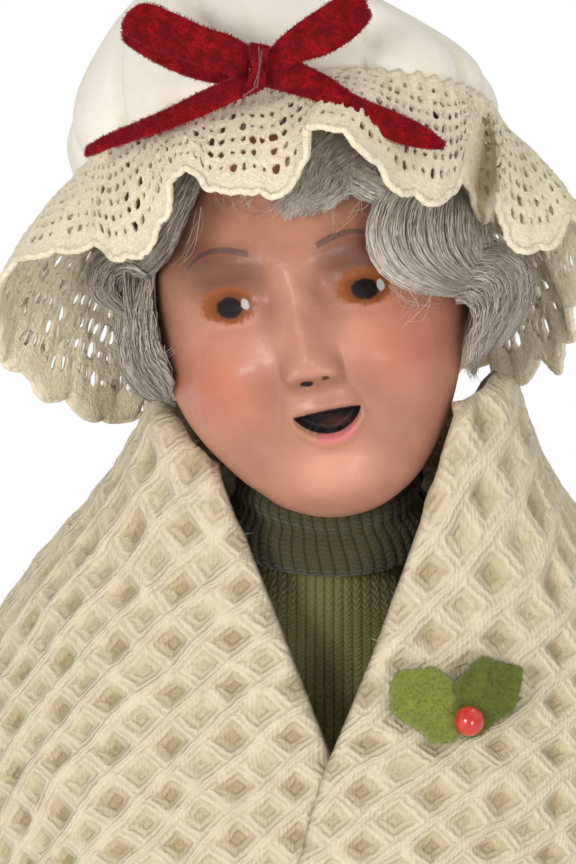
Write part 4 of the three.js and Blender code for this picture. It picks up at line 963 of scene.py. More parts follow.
def addCap():
    def shape(u, v):
        return fromCap(crownLocal(u * math.tau, v ** 1.15))

    def clothMap(u, v):
        return np.stack([u * 172 * np.cos(v * 1.2), v * 46], -1)

    crown = closeMesh(gridMesh('muslinCrown', 280, 90, shape, clothMap), weld=0.02)
    piece = addPiece('muslinCrown', crown, 'head', muslinMaterial(), ['cap_crown'])
    turns = np.linspace(0, math.tau, 160, endpoint=False)
    reach = cap['threadRing']
    ring = np.stack([reach * np.sin(turns), -reach * np.cos(turns), -0.35 + 0.15 * np.sin(23 * turns)], -1)
    thread = tubeMesh('gatherThread', fromCap(ring), 0.42, 8, True)
    cotton = cottonMaterial('gatherCotton', 1.0)
    addPiece('gatherThread', thread, 'head', cotton, ['cap_gather_thread'])
    print('cap ready')


# Crochet lace
lace = {
    'columns': 168,
    'rows': 9,
    'cell': 2.1,
    'cream': paint(250, 237, 210),
    'creamDark': paint(228, 206, 166),
    'thickness': 0.6,
    'bulge': 2.6,
}


def cottonMaterial(name, scale, light=lace['cream'], dark=lace['creamDark']):
    finish = Finish(name, light, Roughness=0.92, Sheen_Weight=0.15, Specular_IOR_Level=0.2)
    knots = finish.noise(1.7 * scale, 5, 0.65)
    twist = finish.noise(4.2 * scale, 2, spot=finish.objectSpot(1000, (20, 30, 40)))
    finish.layer(knots.fade(0.62, 0.34) * 0.55, dark)
    return finish.done(knots + twist * 0.5, 0.42, 0.9)


def laceRim():  # the frill's free edge, with the place on the band that each part hangs from
    sides = [(*fromView(column, row, depth), azimuth) for column, row, depth, azimuth in rimSpots]
    back = []
    for azimuth in range(149, 212, 9):
        turn = math.radians(azimuth)
        reach = 15.5 + 2.6 * math.cos(azimuth * 1.35)
        local = np.array([(cap['band'] + reach) * math.sin(turn), -(cap['band'] + reach) * math.cos(turn),
                          -17.5 + 2.2 * math.sin(azimuth * 1.35)])
        back.append((*fromCap(local), azimuth))
    loop = sides + back + [(*sides[0][:3], sides[0][3] + 360)]
    return splinePath(loop, 1201)


rimSpots = (  # column and row of the view, depth, and azimuth on the band, from the left round to the right
    (141, 414, 14, -140), (118, 411, 13, -135), (100, 416, 11, -130), (78, 401, 9, -125),
    (62, 393, 7, -120), (38, 386, 4, -114), (24, 362, 2, -109), (6, 361, 0, -104), (1, 338, -2, -99),
    (-6, 318, -5, -94), (-4, 296, -9, -89), (2, 276, -13, -84), (20, 256, -17, -78), (50, 250, -21, -72),
    (80, 244, -24, -66), (100, 243, -27, -61), (114, 253, -30, -57), (130, 254, -32, -53),
    (146, 242, -33, -49), (158, 226, -33, -45), (165, 205, -33, -41), (168, 185, -33.5, -36),
    (174, 171, -34, -30), (186, 168, -36, -24), (198, 170, -37, -20), (206, 183, -38, -17),
    (218, 188, -39, -14), (240, 185, -39.5, -10), (257, 188, -40, -6), (268, 192, -40, -3),
    (285, 184, -39.5, 0), (299, 168, -39, 4), (306, 150, -39, 8), (306, 135, -39.5, 12),
    (308, 126, -40, 15), (320, 122, -40.5, 19), (341, 129, -41, 24), (358, 140, -41, 28),
    (377, 160, -40, 33), (394, 180, -38.5, 37), (411, 191, -37, 42), (434, 195, -35, 47),
    (450, 193, -32.5, 52), (459, 178, -29, 56), (464, 163, -25, 60), (469, 180, -18, 63),
    (477, 205, -13, 66), (487, 215, -13, 69), (494, 200, -17, 71), (498, 190, -20, 73), (501, 215, -23, 75),
    (510, 234, -24.5, 77), (523, 243, -25, 80), (537, 246, -24, 83), (551, 240, -22, 86),
    (560, 226, -19, 89), (572, 214, -16, 92), (588, 222, -12, 96), (598, 245, -8, 100), (594, 268, -4, 104),
    (580, 288, 0, 108), (568, 308, 3, 112), (572, 328, 6, 116), (562, 342, 8, 120), (555, 362, 10, 124),
    (541, 355, 11, 128), (524, 370, 13, 132), (510, 375, 15, 136), (495, 369, 17, 140),
)


def laceSurface(u, v, rim):
    place = (u % 1) * (len(rim) - 1)
    low = np.minimum(place.astype(int), len(rim) - 2)
    spot = rim[low] + (rim[low + 1] - rim[low]) * (place - low)[:, None]
    turn = np.radians(spot[:, 3])
    gather = 0.5 * np.sin(62 * math.tau * u) * np.exp(-v * 5)
    ring = cap['band'] + 2.0 + gather
    seam = fromCap(np.stack([ring * np.sin(turn), -ring * np.cos(turn), np.full(len(u), 1.9)], -1))
    away = fromCap(np.stack([35 * np.sin(turn), -35 * np.cos(turn), np.full(len(u), 6.0)], -1)) - seam
    away /= np.linalg.norm(away, axis=1, keepdims=True)
    share = v[:, None]
    middle = (seam + spot[:, :3]) / 2 + away * lace['bulge']
    fold = seam * (1 - share) ** 2 + middle * 2 * share * (1 - share) + spot[:, :3] * share ** 2
    knots = 0.22 * ripple(u * 1500, v * 70, u * 700 + v * 40, 1.0)
    knots = knots + 0.3 * ripple(u * 260, v * 9, u * 170, 1.0) * v
    return fold + away * knots[:, None]


def laceHole(column, row):  # share of a crochet cell that is open
    chance = random.random()
    if row in (0, 8) or chance < 0.05:
        return 0
    if row == 1:
        return 0.42 if column % 2 else 0
    if row == 7:
        return 0.5 if column % 4 in (1, 2) else 0.15
    fan = (column + row) % 6 == 0 or (column - row) % 6 == 0
    if fan:
        return 0.9 if chance > 0.35 else 0.62
    return (0.2, 0.34, 0.5)[int(chance * 3)]


def addLace():
    columns, rows, cell = lace['columns'], lace['rows'], lace['cell']
    bm = bmesh.new()
    bmesh.ops.create_grid(bm, x_segments=columns, y_segments=rows, size=0.5)
    bmesh.ops.scale(bm, vec=(columns * cell, rows * cell, 1), verts=bm.verts)
    groups = {}
    for face in bm.faces:
        centre = face.calc_center_median()
        column = int(centre.x / cell + columns / 2)
        row = int(centre.y / cell + rows / 2)
        share = laceHole(column, row)
        if share:
            groups.setdefault(share, []).append(face)
    for share, faces in groups.items():
        margin = cell * (1 - share ** 0.5) / 2
        bmesh.ops.inset_individual(bm, faces=faces, thickness=margin, use_even_offset=True)
    bmesh.ops.delete(bm, geom=[face for faces in groups.values() for face in faces], context='FACES')
    bmesh.ops.scale(bm, vec=(1 / (columns * cell), 1 / (rows * cell), 1), verts=bm.verts)
    mesh = evenMesh(takeMesh(bm, 'laceFlat'), 'SUBSURF', levels=1, render_levels=1, boundary_smooth='ALL')
    rim = laceRim()

    def scallop(u):
        return 1 + 0.05 * np.abs(np.sin(u * math.pi * columns / 4))

    def shape(u, v):
        return laceSurface(u, v * (1 + (scallop(u) - 1) * smoothStep((v - 0.7) / 0.3)), rim)

    shapeMesh(mesh, shape)
    net = closeMesh(mesh, weld=0.02, thickness=lace['thickness'])
    edge = np.linspace(0, 1, 1000, endpoint=False)
    cord = tubeMesh('laceCord', laceSurface(edge, scallop(edge), rim), 0.46, 8, True)
    whole = joinMeshes('laceFrill', [net, cord])
    frill = addPiece('laceFrill', whole, 'head', cottonMaterial('crochetCotton', 1.0), ['cap_lace'])
    print('lace ready', len(frill.data.polygons))


# Velvet bow
velvet = {
    'red': paint(156, 8, 20),
    'deep': paint(100, 3, 12),
    'pink': paint(226, 96, 108),
    'thickness': 0.55,
    'pile': 0.3,
    'pileCount': 15500,
    'steps': 70,
    'across': 10,
    'bulge': 0.35,
    'threadLight': paint(170, 96, 94),
    'threadDark': paint(104, 40, 42),
}


def velvetMaterial(name, tone, second):
    finish = Finish(name, tone, Roughness=0.8, Sheen_Weight=0.7, Sheen_Roughness=0.35,
                    Specular_IOR_Level=0.15, Sheen_Tint=velvet['pink'])
    finish.layer(finish.noise(0.55, 4, 0.6).fade(0.35, 0.7), second)
    return finish.done(finish.noise(7.0, 3), 0.12, 0.7)


def ribbonMesh(name, upper, lower):  # a ribbon between two edges given by column, row and depth
    steps = velvet['steps']
    top = splinePath([fromView(*knot) for knot in upper], steps + 1)
    low = splinePath([fromView(*knot) for knot in lower], steps + 1)
    forward = cameraAxes()[1]

    def shape(u, v):
        place = u * steps
        index = np.minimum(place.astype(int), steps - 1)
        part = (place - index)[:, None]
        a = top[index] * (1 - part) + top[index + 1] * part
        b = low[index] * (1 - part) + low[index + 1] * part
        bulge = velvet['bulge'] * np.sin(math.pi * v) ** 0.6 + 0.10 * ripple(u * 30, v * 4, u * 11, 1.0)
        return b * (1 - v[:, None]) + a * v[:, None] - forward * bulge[:, None]
    return gridMesh(name, steps, velvet['across'], shape)


def triangles(mesh):  # the corners of a mesh's triangles, their normals and twice their areas
    mesh.calc_loop_triangles()
    points = readPoints(mesh)
    corners = np.array([tri.vertices[:] for tri in mesh.loop_triangles])
    a, b, c = (points[corners[:, number]] for number in range(3))
    cross = np.cross(b - a, c - a)
    area = np.linalg.norm(cross, axis=1)
    return a, b, c, cross / np.maximum(area, 1e-9)[:, None], area


def pileOn(meshes, count, length, lean=0.45):  # short fibres standing on the faces of meshes
    paths = []
    surfaces = [triangles(mesh) for mesh in meshes]
    whole = sum(area.sum() for *_, area in surfaces)
    for a, b, c, normal, area in surfaces:
        share = int(count * area.sum() / whole)
        chosen = scatter.choice(len(area), share, p=area / area.sum())
        r = np.sqrt(scatter.random(share))[:, None]
        s = scatter.random(share)[:, None]
        root = a[chosen] * (1 - r) + b[chosen] * r * (1 - s) + c[chosen] * r * s
        lay = normal[chosen] + scatter.normal(0, lean, (share, 3))
        lay /= np.linalg.norm(lay, axis=1, keepdims=True)
        tip = root + lay * (length * (0.7 + 0.6 * scatter.random((share, 1))))
        paths += [np.stack(pair) for pair in zip(root, tip)]
    return paths


def addBow():
    strips = {
        'leftLoop': (
            [(256, 50, -34.0), (232, 36, -34.6), (205, 27, -33.6), (172, 12, -31.2), (143, 3, -29.0),
             (125, 16, -27.4), (128, 26, -26.4), (150, 38, -27.0), (180, 52, -28.6), (212, 60, -30.4),
             (240, 66, -31.6)],
            [(244, 84, -34.6), (226, 74, -35.2), (205, 68, -34.4), (172, 56, -32.0), (146, 47, -30.0),
             (123, 34, -28.0), (126, 40, -26.2), (150, 56, -26.8), (178, 70, -28.4), (206, 79, -30.2),
             (238, 84, -31.4)],
        ),
        'rightLoop': (
            [(262, 60, -33.0), (272, 46, -33.6), (294, 26, -34.0), (328, 3, -33.6), (350, -10, -32.4),
             (364, -4, -31.0), (356, -6, -29.8), (330, 8, -30.6), (300, 28, -31.6), (280, 44, -32.0),
             (262, 58, -32.0)],
            [(266, 84, -33.8), (282, 74, -34.6), (298, 63, -35.2), (330, 53, -34.8), (356, 36, -33.6),
             (371, 18, -31.6), (362, 26, -29.8), (338, 38, -30.4), (306, 50, -31.4), (284, 64, -32.0),
             (264, 78, -32.2)],
        ),
        'leftTail': (
            [(256, 70, -34.2), (231, 78, -34.4), (199, 92, -33.0), (168, 108, -30.8), (136, 122, -27.8),
             (104, 136, -24.4), (86, 147, -22.0)],
            [(262, 90, -35.2), (236, 101, -36.4), (200, 116, -35.2), (168, 129, -33.0), (136, 139, -30.0),
             (104, 150, -26.4), (84, 156, -24.0)],
        ),
        'rightTail': (
            [(262, 50, -34.0), (288, 57, -34.2), (328, 76, -34.4), (356, 95, -34.8), (394, 111, -34.6),
             (428, 128, -33.4), (446, 143, -32.4)],
            [(262, 86, -35.0), (284, 92, -35.4), (316, 101, -36.0), (348, 112, -36.6), (382, 136, -36.4),
             (412, 147, -35.0), (443, 150, -33.6)],
        ),
        'knot': (
            [(250, 42, -35.6), (249, 54, -36.9), (253, 66, -37.2), (249, 78, -37.4), (245, 90, -36.8)],
            [(270, 46, -35.4), (267, 56, -36.7), (262, 66, -37.0), (265, 78, -37.2), (264, 89, -36.6)],
        ),
        'knotBack': (
            [(251, 47, -34.2), (250, 66, -35.0), (249, 87, -34.8)],
            [(268, 50, -34.2), (268, 66, -35.0), (266, 86, -34.8)],
        ),
    }
    backing = velvetMaterial('velvetBack', velvet['deep'], velvet['red'])
    fibre = velvetMaterial('velvetPile', velvet['red'], velvet['deep'])
    walls = []
    for name, edges in strips.items():
        walls.append(closeMesh(ribbonMesh(name, *edges), thickness=velvet['thickness']))
    whole = joinMeshes('velvetRibbon', walls)
    bow = addPiece('velvetRibbon', whole, 'head', backing, ['velvet_bow'])
    fibres = strandMesh('velvetPile', pileOn(walls, velvet['pileCount'], velvet['pile'], 0.3), 0.05, 0.6)
    addPiece('velvetPile', fibres, 'head', fibre)
    stitches = []
    for start, end in (((259, 46, -36.9), (257, 88, -37.9)), ((262, 50, -36.9), (254, 86, -37.8)),
                       ((256, 86, -37.7), (243, 96, -37.2)), ((244, 94, -37.2), (241, 104, -36.8))):
        middle = (np.array(start) + np.array(end)) / 2 + np.array([1.5, 0, -0.4])
        stitches.append(splinePath([fromView(*start), fromView(*middle), fromView(*end)], 14))
    thread = joinMeshes('bowStitches', [tubeMesh('stitch', path, 0.1, 6) for path in stitches])
    cotton = cottonMaterial('stitchThread', 3.0, velvet['threadLight'], velvet['threadDark'])
    addPiece('bowStitches', thread, 'head', cotton)
    print('bow ready', len(bow.data.polygons))


# Knitted sweater
knit = {
    'collarOlive': paint(74, 70, 41),
    # the same yarn as the collar, painted lighter against the shade under the shawl, a painted light
    'bodyOlivePaintedLight': paint(122, 116, 70),
    # how dark the grooves between ribs are painted, a painted shade
    'paintedGrooveShade': 0.42,
    'ribPitch': 1.25,
    'bodyDepth': 0.36,
    'collarRibs': 48,
    'collarDepth': 0.34,
    'sleeveRibs': 26,
    'sleeveDepth': 0.36,
    'stitch': 0.95,
    'margin': 1.6,
}
torsoRings = (  # height, front to back place, half width, half depth, tilt
    (176.0, 0.0, 18.6, 14.7, 0),
    (182.1, 0.0, 18.0, 14.0, 0),
    (198.3, -0.5, 19.8, 14.9, 0),
    (214.4, -1.0, 21.0, 15.5, 0),
    (232.5, -1.0, 20.0, 12.5, 2),
    (239.8, -2.0, 14.4, 10.6, 5),
    (245.1, -3.0, 9.9, 9.0, 10),
    (250.7, -3.6, 7.7, 7.7, 10),
)


def knitMaterial(name, tone):
    finish = Finish(name, tinted(tone, knit['paintedGrooveShade']), Roughness=0.95, Sheen_Weight=0.2,
                    Specular_IOR_Level=0.2)
    across, along = finish.cloth()
    rib = (across * math.pi).step('COSINE').step('ABSOLUTE')
    offset = (across.step('FRACT') - 0.5).step('ABSOLUTE')
    stitch = ((along / knit['stitch'] + offset * 1.3) * math.tau).step('SINE')
    fuzz = finish.noise(3.2, 4, 0.7)
    # grooves painted darker than the rib tops, a painted shade
    finish.layer(rib.fade(0.0, 0.6), tone)
    # stitch crests on the ribs painted lighter, a painted highlight, with random lighter fuzz
    finish.layer((stitch * rib).fade(-0.2, 0.9) * 0.3 + fuzz.fade(0.45, 0.75) * 0.25, tinted(tone, 1.6))
    return finish.done(stitch * rib * 0.6 + fuzz * 0.8, 0.22, 0.8)


def ribWave(turns):  # rounded ribs with narrow grooves between them
    return np.abs(np.cos(math.pi * turns)) ** 0.6


def torsoSurface(u, v, margin):
    rings = splinePath(torsoRings, 120)
    run = v * (len(rings) - 1)
    low = np.minimum(run.astype(int), len(rings) - 2)
    ring = rings[low] + (rings[low + 1] - rings[low]) * (run - low)[:, None]
    angle = u * math.tau
    x = (ring[:, 2] + margin) * np.cos(angle)
    y = (ring[:, 3] + margin) * np.sin(angle)
    return np.stack([x, ring[:, 1] + y, ring[:, 0] + y * np.tan(np.radians(ring[:, 4]))], -1)


def pathFrames(path):  # two steady side directions along a path
    tangents = np.gradient(path, axis=0)
    tangents /= np.linalg.norm(tangents, axis=1, keepdims=True)
    side = np.array([0.31, 0.95, 0.02])
    sides = []
    for tangent in tangents:
        side = side - tangent * side.dot(tangent)
        side /= np.linalg.norm(side)
        sides.append(side)
    return np.array(sides), np.cross(tangents, sides)


def limbMesh(name, path, columns, radius, clothMap):  # a closed tube round a path, its radius set by u and v
    rows = len(path) - 1
    first, second = pathFrames(path)

    def shape(u, v):
        place = np.rint(v * rows).astype(int)
        angle = (u * math.tau)[:, None]
        outward = first[place] * np.cos(angle) + second[place] * np.sin(angle)
        return path[place] + radius(u, v)[:, None] * outward
    return gridMesh(name, columns, rows, shape, clothMap)


def addSweater():
    material = knitMaterial('ribKnit', knit['collarOlive'])
    # the body's knit is a lighter copy of the collar's knit, a painted light
    paintedLightKnit = knitMaterial('ribKnitBodyPaintedLight', knit['bodyOlivePaintedLight'])

    def ribTurns(u, v):  # ribs keep their width and run straight down the front
        angle = (u * math.tau + math.pi / 2 + math.pi) % math.tau - math.pi
        halfWidth = torsoSurface(np.zeros(len(u)), v, knit['margin'])[:, 0]
        turned = np.abs(angle)
        reach = np.sin(np.minimum(turned, 1.1)) + 0.8 * np.maximum(turned - 1.1, 0)
        return np.sign(angle) * halfWidth * reach / knit['ribPitch']

    def bodyShape(u, v):
        slack = 0.25 * ripple(u * 9, v * 5, u * 4, 1.0)
        depth = knit['bodyDepth'] * (ribWave(ribTurns(u, v)) - 1)
        return torsoSurface(u, v, knit['margin'] + depth + slack)

    fabric = gridMesh('sweaterBody', 520, 36, bodyShape, lambda u, v: np.stack([ribTurns(u, v), v * 76], -1))
    fabric = closeMesh(fabric, weld=0.02, thickness=0.8)
    sweater = addPiece('sweaterBody', fabric, 'torso', paintedLightKnit, ['sweater_body'])

    fold = splinePath([(9.9, 0.6), (9.9, 6.6), (10.3, 8.4), (11.2, 9.2), (12.1, 8.7), (12.4, 7.5),
                       (12.1, 6.2), (12.5, 5.2), (13.3, 4.2), (13.8, 2.6), (13.9, 1.0), (13.3, -0.3),
                       (12.0, -0.7), (10.6, -0.2), (9.9, 0.6)], 64)
    foldSteps = len(fold) - 1
    count = knit['collarRibs']
    tilt = np.array(Matrix.Rotation(math.radians(10), 3, 'X'))

    def collarShape(u, v):
        place = np.rint(v * foldSteps).astype(int)
        outer = smoothStep((fold[place, 0] - 10.2) / 1.6)
        lean = 0.9 * (fold[place, 1] / 8)
        wave = ribWave(u * count + lean) - 1
        sag = 0.5 * ripple(u * 8, u * 5, u * 3, 1.0)
        slack = 0.3 * ripple(u * 11, v, u * 7, 1.0) * outer
        reach = fold[place, 0] + knit['collarDepth'] * wave * outer + slack
        height = fold[place, 1] + knit['collarDepth'] * 0.5 * wave * (fold[place, 1] > 6.5) + sag
        underChin = np.clip(-np.sin(u * math.tau), 0, 1) ** 4
        height = height - underChin * smoothStep(fold[place, 1] / 8)
        local = np.stack([reach * np.cos(u * math.tau), reach * np.sin(u * math.tau), height], -1)
        return local @ tilt.T + np.array([0, -3.6, 251.3])

    def collarMap(u, v):
        place = np.rint(v * foldSteps).astype(int)
        return np.stack([u * count + 0.9 * (fold[place, 1] / 8), v * 30], -1)

    collar = closeMesh(gridMesh('sweaterCollar', count * 10, foldSteps, collarShape, collarMap), weld=0.02)
    collarPiece = addPiece('sweaterCollar', collar, 'torso', material, ['sweater_collar'])

    for side, word in ((-1, 'left'), (1, 'right')):
        path = splinePath([(side * 15, 0, 246.2), (side * 28.2, 0, 244.3), (side * 37.2, -0.5, 224.6),
                           (side * 40.2, -1, 206.5), (side * 40.2, -1, 197.5), (side * 40.0, -1.6, 192.4),
                           (side * 36.2, -8, 187.3), (side * 28.2, -22, 182.4), (side * 20.2, -36, 175.5)],
                          101)
        run = np.linspace(0, 1, len(path))
        widths = np.interp(run, [0, 0.18, 0.42, 0.6, 0.94, 1], [7.4, 6.8, 6.5, 6.8, 6.1, 6.0])
        cuff = smoothStep((run - 0.93) / 0.02)

        def sleeveRadius(u, v):
            place = np.rint(v * (len(widths) - 1)).astype(int)
            crease = 0.5 * np.sin(v * 150 + 2 * np.sin(u * math.tau)) * np.exp(-((v - 0.56) / 0.07) ** 2)
            slack = 0.3 * ripple(u * 7, v * 22, u * 4, 1.0) + 0.5 * cuff[place]
            ribs = knit['sleeveDepth'] * (ribWave(u * knit['sleeveRibs']) - 1)
            return widths[place] + ribs + crease + slack

        tube = limbMesh(word + 'Sleeve', path, knit['sleeveRibs'] * 6, sleeveRadius,
                        lambda u, v: np.stack([u * knit['sleeveRibs'], v * 105], -1))
        sleeve = closeMesh(tube, weld=0.02, thickness=0.8)
        piece = addPiece(word + 'Sleeve', sleeve, None, material,
                         [word + '_upper_sleeve', word + '_lower_sleeve'])
        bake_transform(piece)
    print('sweater ready')


# Waffle shawl
shawl = {
    'cream': paint(229, 214, 184),
    # a darker cream for painted shade in the pits and between threads, and for random stains
    'creamShade': paint(190, 172, 134),
    'fleck': paint(146, 130, 96),
    'drop': 69,
    'cell': 4.5,
    'threads': 5,
    'pitDepth': 1.9,
    'columns': 432,
    'rows': 92,
    'thickness': 0.8,
    'surface': 1.7,
    'rimFront': 259,
    'rimBackRise': 7.5,
    'hem': 192,
    'opening': 25.6,
    'openingDepth': 31,
    'overlap': 9,
    'edgeRoll': 2.4,
    'strays': 2200,
}
shawlRise = ((0, 30, 45, 60, 78, 100, 140, 180, 225, 255, 282, 300, 325, 360),
             (0, 1.6, 4.8, 7.8, 7.6, 4, 0.5, 0, 0, 4, 11.5, 13.6, 12, 4))
shawlSpread = ((0, 28, 42, 60, 82, 110, 180, 240, 270, 300, 320, 340, 360),
               (0, 2.0, 3.2, 2.9, 0.8, -1, -1, -1, -0.4, 2.0, 3.2, 3.0, 2.4))
shawlOutline = splinePath([(20, 18, 0), (28, 20.2, 0.135), (38.4, 23.5, 0.28), (46.2, 27.3, 0.45),
                           (52.2, 31.5, 0.62), (58.5, 38, 1)], 200)


def frontEdge(v, side):  # how far across the chest a front edge lies
    share = shawl['openingDepth'] / (shawl['rimFront'] - shawl['hem'])
    above = side * shawl['opening'] / 2 * (1 - v / share)
    below = -side * shawl['overlap'] * (np.maximum(v - share, 0) / (1 - share)) ** 0.8
    return np.where(v < share, above, below)


def shawlBase(u, v):
    across = np.interp(v, shawlOutline[:, 2], shawlOutline[:, 0])
    deep = np.interp(v, shawlOutline[:, 2], shawlOutline[:, 1])
    lower = np.arcsin(frontEdge(v, -1) / across)
    upper = np.arcsin(frontEdge(v, 1) / across) - math.tau
    azimuth = lower + (upper - lower) * u
    held = smoothStep(u / 0.2) * smoothStep((0.94 - u) / 0.2)
    grow = 2.7 * smoothStep((u - 0.8) / 0.14) + 1.5 * v * v * np.sin(9 * azimuth) * held
    rim = shawl['rimFront'] + shawl['rimBackRise'] * (1 - np.cos(azimuth)) / 2
    around = -np.degrees(azimuth)
    top = np.clip(1 - v / 0.36, 0, 1) ** 1.6
    rise = np.interp(around, *shawlRise) * top
    spread = grow + np.interp(around, *shawlSpread) * top
    place = np.stack([
        (across + spread) * np.sin(azimuth),
        -1 - (deep + spread) * np.cos(azimuth),
        rim + (shawl['hem'] - rim) * v + rise,
    ], -1)
    return place, azimuth


def shawlNormal(u, v):
    step = 0.003
    along = shawlBase(u + step, v)[0] - shawlBase(u - step, v)[0]
    down = shawlBase(u, v + step)[0] - shawlBase(u, v - step)[0]
    normal = np.cross(along, down)
    return normal / np.linalg.norm(normal, axis=1, keepdims=True)


def shawlCells(u, v):  # cloth coordinates on the bias, in millimetres
    azimuth = shawlBase(u, v)[1]
    reach = 40 + shawl['drop'] * v
    turn = azimuth * 0.5
    across = reach * np.sin(turn)
    along = reach * np.cos(turn)
    first = (across + along) / math.sqrt(2)
    second = (across - along) / math.sqrt(2)
    wobble = 0.6 * ripple(first * 0.24, second * 0.31, first * 0.13, 1.0)
    drift = 0.6 * ripple(second * 0.27, first * 0.21, second * 0.12, 1.0)
    return np.stack([first + wobble, second + drift], -1)


def waffleHeight(cells):  # rounded ridges that pass over and under each other, with pits between
    part = np.abs((cells / shawl['cell']) % 1 * 2 - 1)
    number = np.floor(cells / shawl['cell'] + 0.5)
    over = 0.5 + 0.5 * np.cos(math.pi * (number[:, 0] + number[:, 1]))
    ridges = smoothStep((part - 0.10) / 0.78)
    first = ridges[:, 0] * (1 - 0.22 * over * part[:, 1] ** 3)
    second = ridges[:, 1] * (1 - 0.22 * (1 - over) * part[:, 0] ** 3)
    pit = np.floor(cells / shawl['cell']).sum(-1) % 2
    height = np.maximum(first, second) + 0.12 * np.minimum(first, second)
    rough = 0.10 * ripple(cells[:, 0] * 1.9, cells[:, 1] * 2.3, cells[:, 0] * 1.1, 1.0)
    return height * (1 - 0.38 * pit) + 0.38 * pit + rough


def waffleMaterial():
    finish = Finish('waffleCotton', shawl['cream'], Roughness=0.93, Sheen_Weight=0.15, Specular_IOR_Level=0.2)
    across, along = finish.cloth()
    bend = (finish.noise(0.5, 2) - 0.5) * 0.7
    left = (across + bend) / shawl['cell']
    right = (along - bend) / shawl['cell']
    pit = ((left.step('FLOOR') + right.step('FLOOR')) * 0.5).step('FRACT') * 2
    first = (left.step('FRACT') * 2 - 1).step('ABSOLUTE')
    second = (right.step('FRACT') * 2 - 1).step('ABSOLUTE')
    high = first.step('MAXIMUM', second)
    thread = ((first * 1.3).step('MAXIMUM', second) * (math.pi * shawl['threads'])).step('COSINE')
    strong = finish.noise(0.35, 2).fade(0.25, 0.6)
    twist = ((across + along + bend) * (math.tau / 0.62)).step('SINE') * 0.25
    stain = finish.noise(0.16, 3).fade(0.5, 0.8) * 0.2
    # pits painted darker, alternate pits less so, a painted shade
    finish.layer(high.fade(0.86, 0.1) * (pit * -0.45 + 0.95), shawl['creamShade'])
    # lines between the threads on the ridges painted darker, a painted shade, with random stains
    finish.layer(thread.fade(0.2, -0.9) * strong * 0.4 + stain, shawl['creamShade'])
    finish.layer(finish.noise(1.3, 3, 0.8).fade(0.70, 0.77) * 0.5, shawl['fleck'])
    return finish.done(thread * strong * 0.6 + twist * 0.5 + finish.noise(2.4, 5, 0.7), 0.4, 0.75)


def addShawl():
    def spread(u):
        return u - 0.27 * np.sin(math.tau * u) / math.tau

    def shape(u, v):
        u = spread(u)
        place = shawlBase(u, v)[0]
        normal = shawlNormal(u, v)
        width = math.pi * np.interp(v, shawlOutline[:, 2], shawlOutline[:, 0] + shawlOutline[:, 1])
        roll = np.zeros(len(u))
        for distance in (np.minimum(u, 1 - u) * width, v * shawl['drop'], (1 - v) * shawl['drop']):
            away = 1 - np.clip(distance / shawl['edgeRoll'], 0, 1)
            roll += shawl['edgeRoll'] * (1 - np.sqrt(1 - away ** 2))
        flat = 1 - 0.55 * np.clip(roll / shawl['edgeRoll'], 0, 1)
        weave = shawl['pitDepth'] * (waffleHeight(shawlCells(u, v)) - 0.5) * flat
        slack = 0.5 * ripple(place[:, 0] * 0.13, place[:, 1] * 0.13, place[:, 2] * 0.13, 1.0)
        lift = shawl['surface'] + weave + slack * smoothStep(v * 3) - roll * 0.75
        return place + normal * lift[:, None]

    def clothMap(u, v):
        return shawlCells(spread(u), v)

    material = waffleMaterial()
    cloth = gridMesh('waffleShawl', shawl['columns'], shawl['rows'], shape, clothMap)
    cloth = closeMesh(cloth, thickness=shawl['thickness'])
    paths = []
    for root, tip in pileOn([cloth], shawl['strays'], 1.0, 1.4):
        bend = scatter.normal(0, 0.5, 3)
        paths.append(splinePath([root, (root + tip) / 2 + bend * 0.5, tip + bend], 6))
    piece = addPiece('waffleShawl', cloth, 'torso', material, ['shawl'])
    fuzz = addPiece('shawlFuzz', strandMesh('shawlFuzz', paths, 0.032), 'torso', material)
    print('shawl ready', len(cloth.polygons), len(fuzz.data.polygons))


# Holly pin
holly = {
    'leftGreen': paint(144, 152, 60),
    'rightGreen': paint(108, 116, 34),
    'red': paint(186, 34, 26),
    'redLight': paint(208, 64, 48),
    'beadRadius': 1.95,
    'leafThickness': 1.0,
    'fuzz': 3200,
    'across': 17.2,
    'shawlReach': 45.0,
    'shawlShare': 0.412,
}


def feltMaterial(name, tone):
    finish = Finish(name, tone, Roughness=1.0, Sheen_Weight=0.4, Specular_IOR_Level=0.1)
    fibre = finish.noise(2.6, 6, 0.75)
    finish.layer(fibre.fade(0.6, 0.3) * 0.7, tinted(tone, 0.55))
    finish.layer(finish.noise(0.35, 3).fade(0.5, 0.8) * 0.4, tinted(tone, 1.5))
    return finish.done(fibre, 0.35, 0.9)


def feltLeaf(name, outline, point, normal, lift):
    edge = np.array(outline, float)
    after = np.roll(edge, -1, axis=0)
    edge = np.stack([edge * 0.9 + after * 0.1, edge * 0.1 + after * 0.9], 1).reshape(-1, 2)
    bm = bmesh.new()
    base = point - normal * (holly['beadRadius'] + 0.3 - lift)
    corners = [bm.verts.new(onPlane(column, row, base, normal)) for column, row in edge]
    top = bm.faces.new(corners)
    made = bmesh.ops.extrude_face_region(bm, geom=[top])
    raised = [item for item in made['geom'] if isinstance(item, bmesh.types.BMVert)]
    bmesh.ops.translate(bm, vec=Vector(normal * holly['leafThickness']), verts=raised)
    bmesh.ops.recalc_face_normals(bm, faces=bm.faces)
    felt = evenMesh(takeMesh(bm, name), 'REMESH', mode='VOXEL', voxel_size=0.22)
    return evenMesh(felt, 'SMOOTH', factor=0.5, iterations=2)


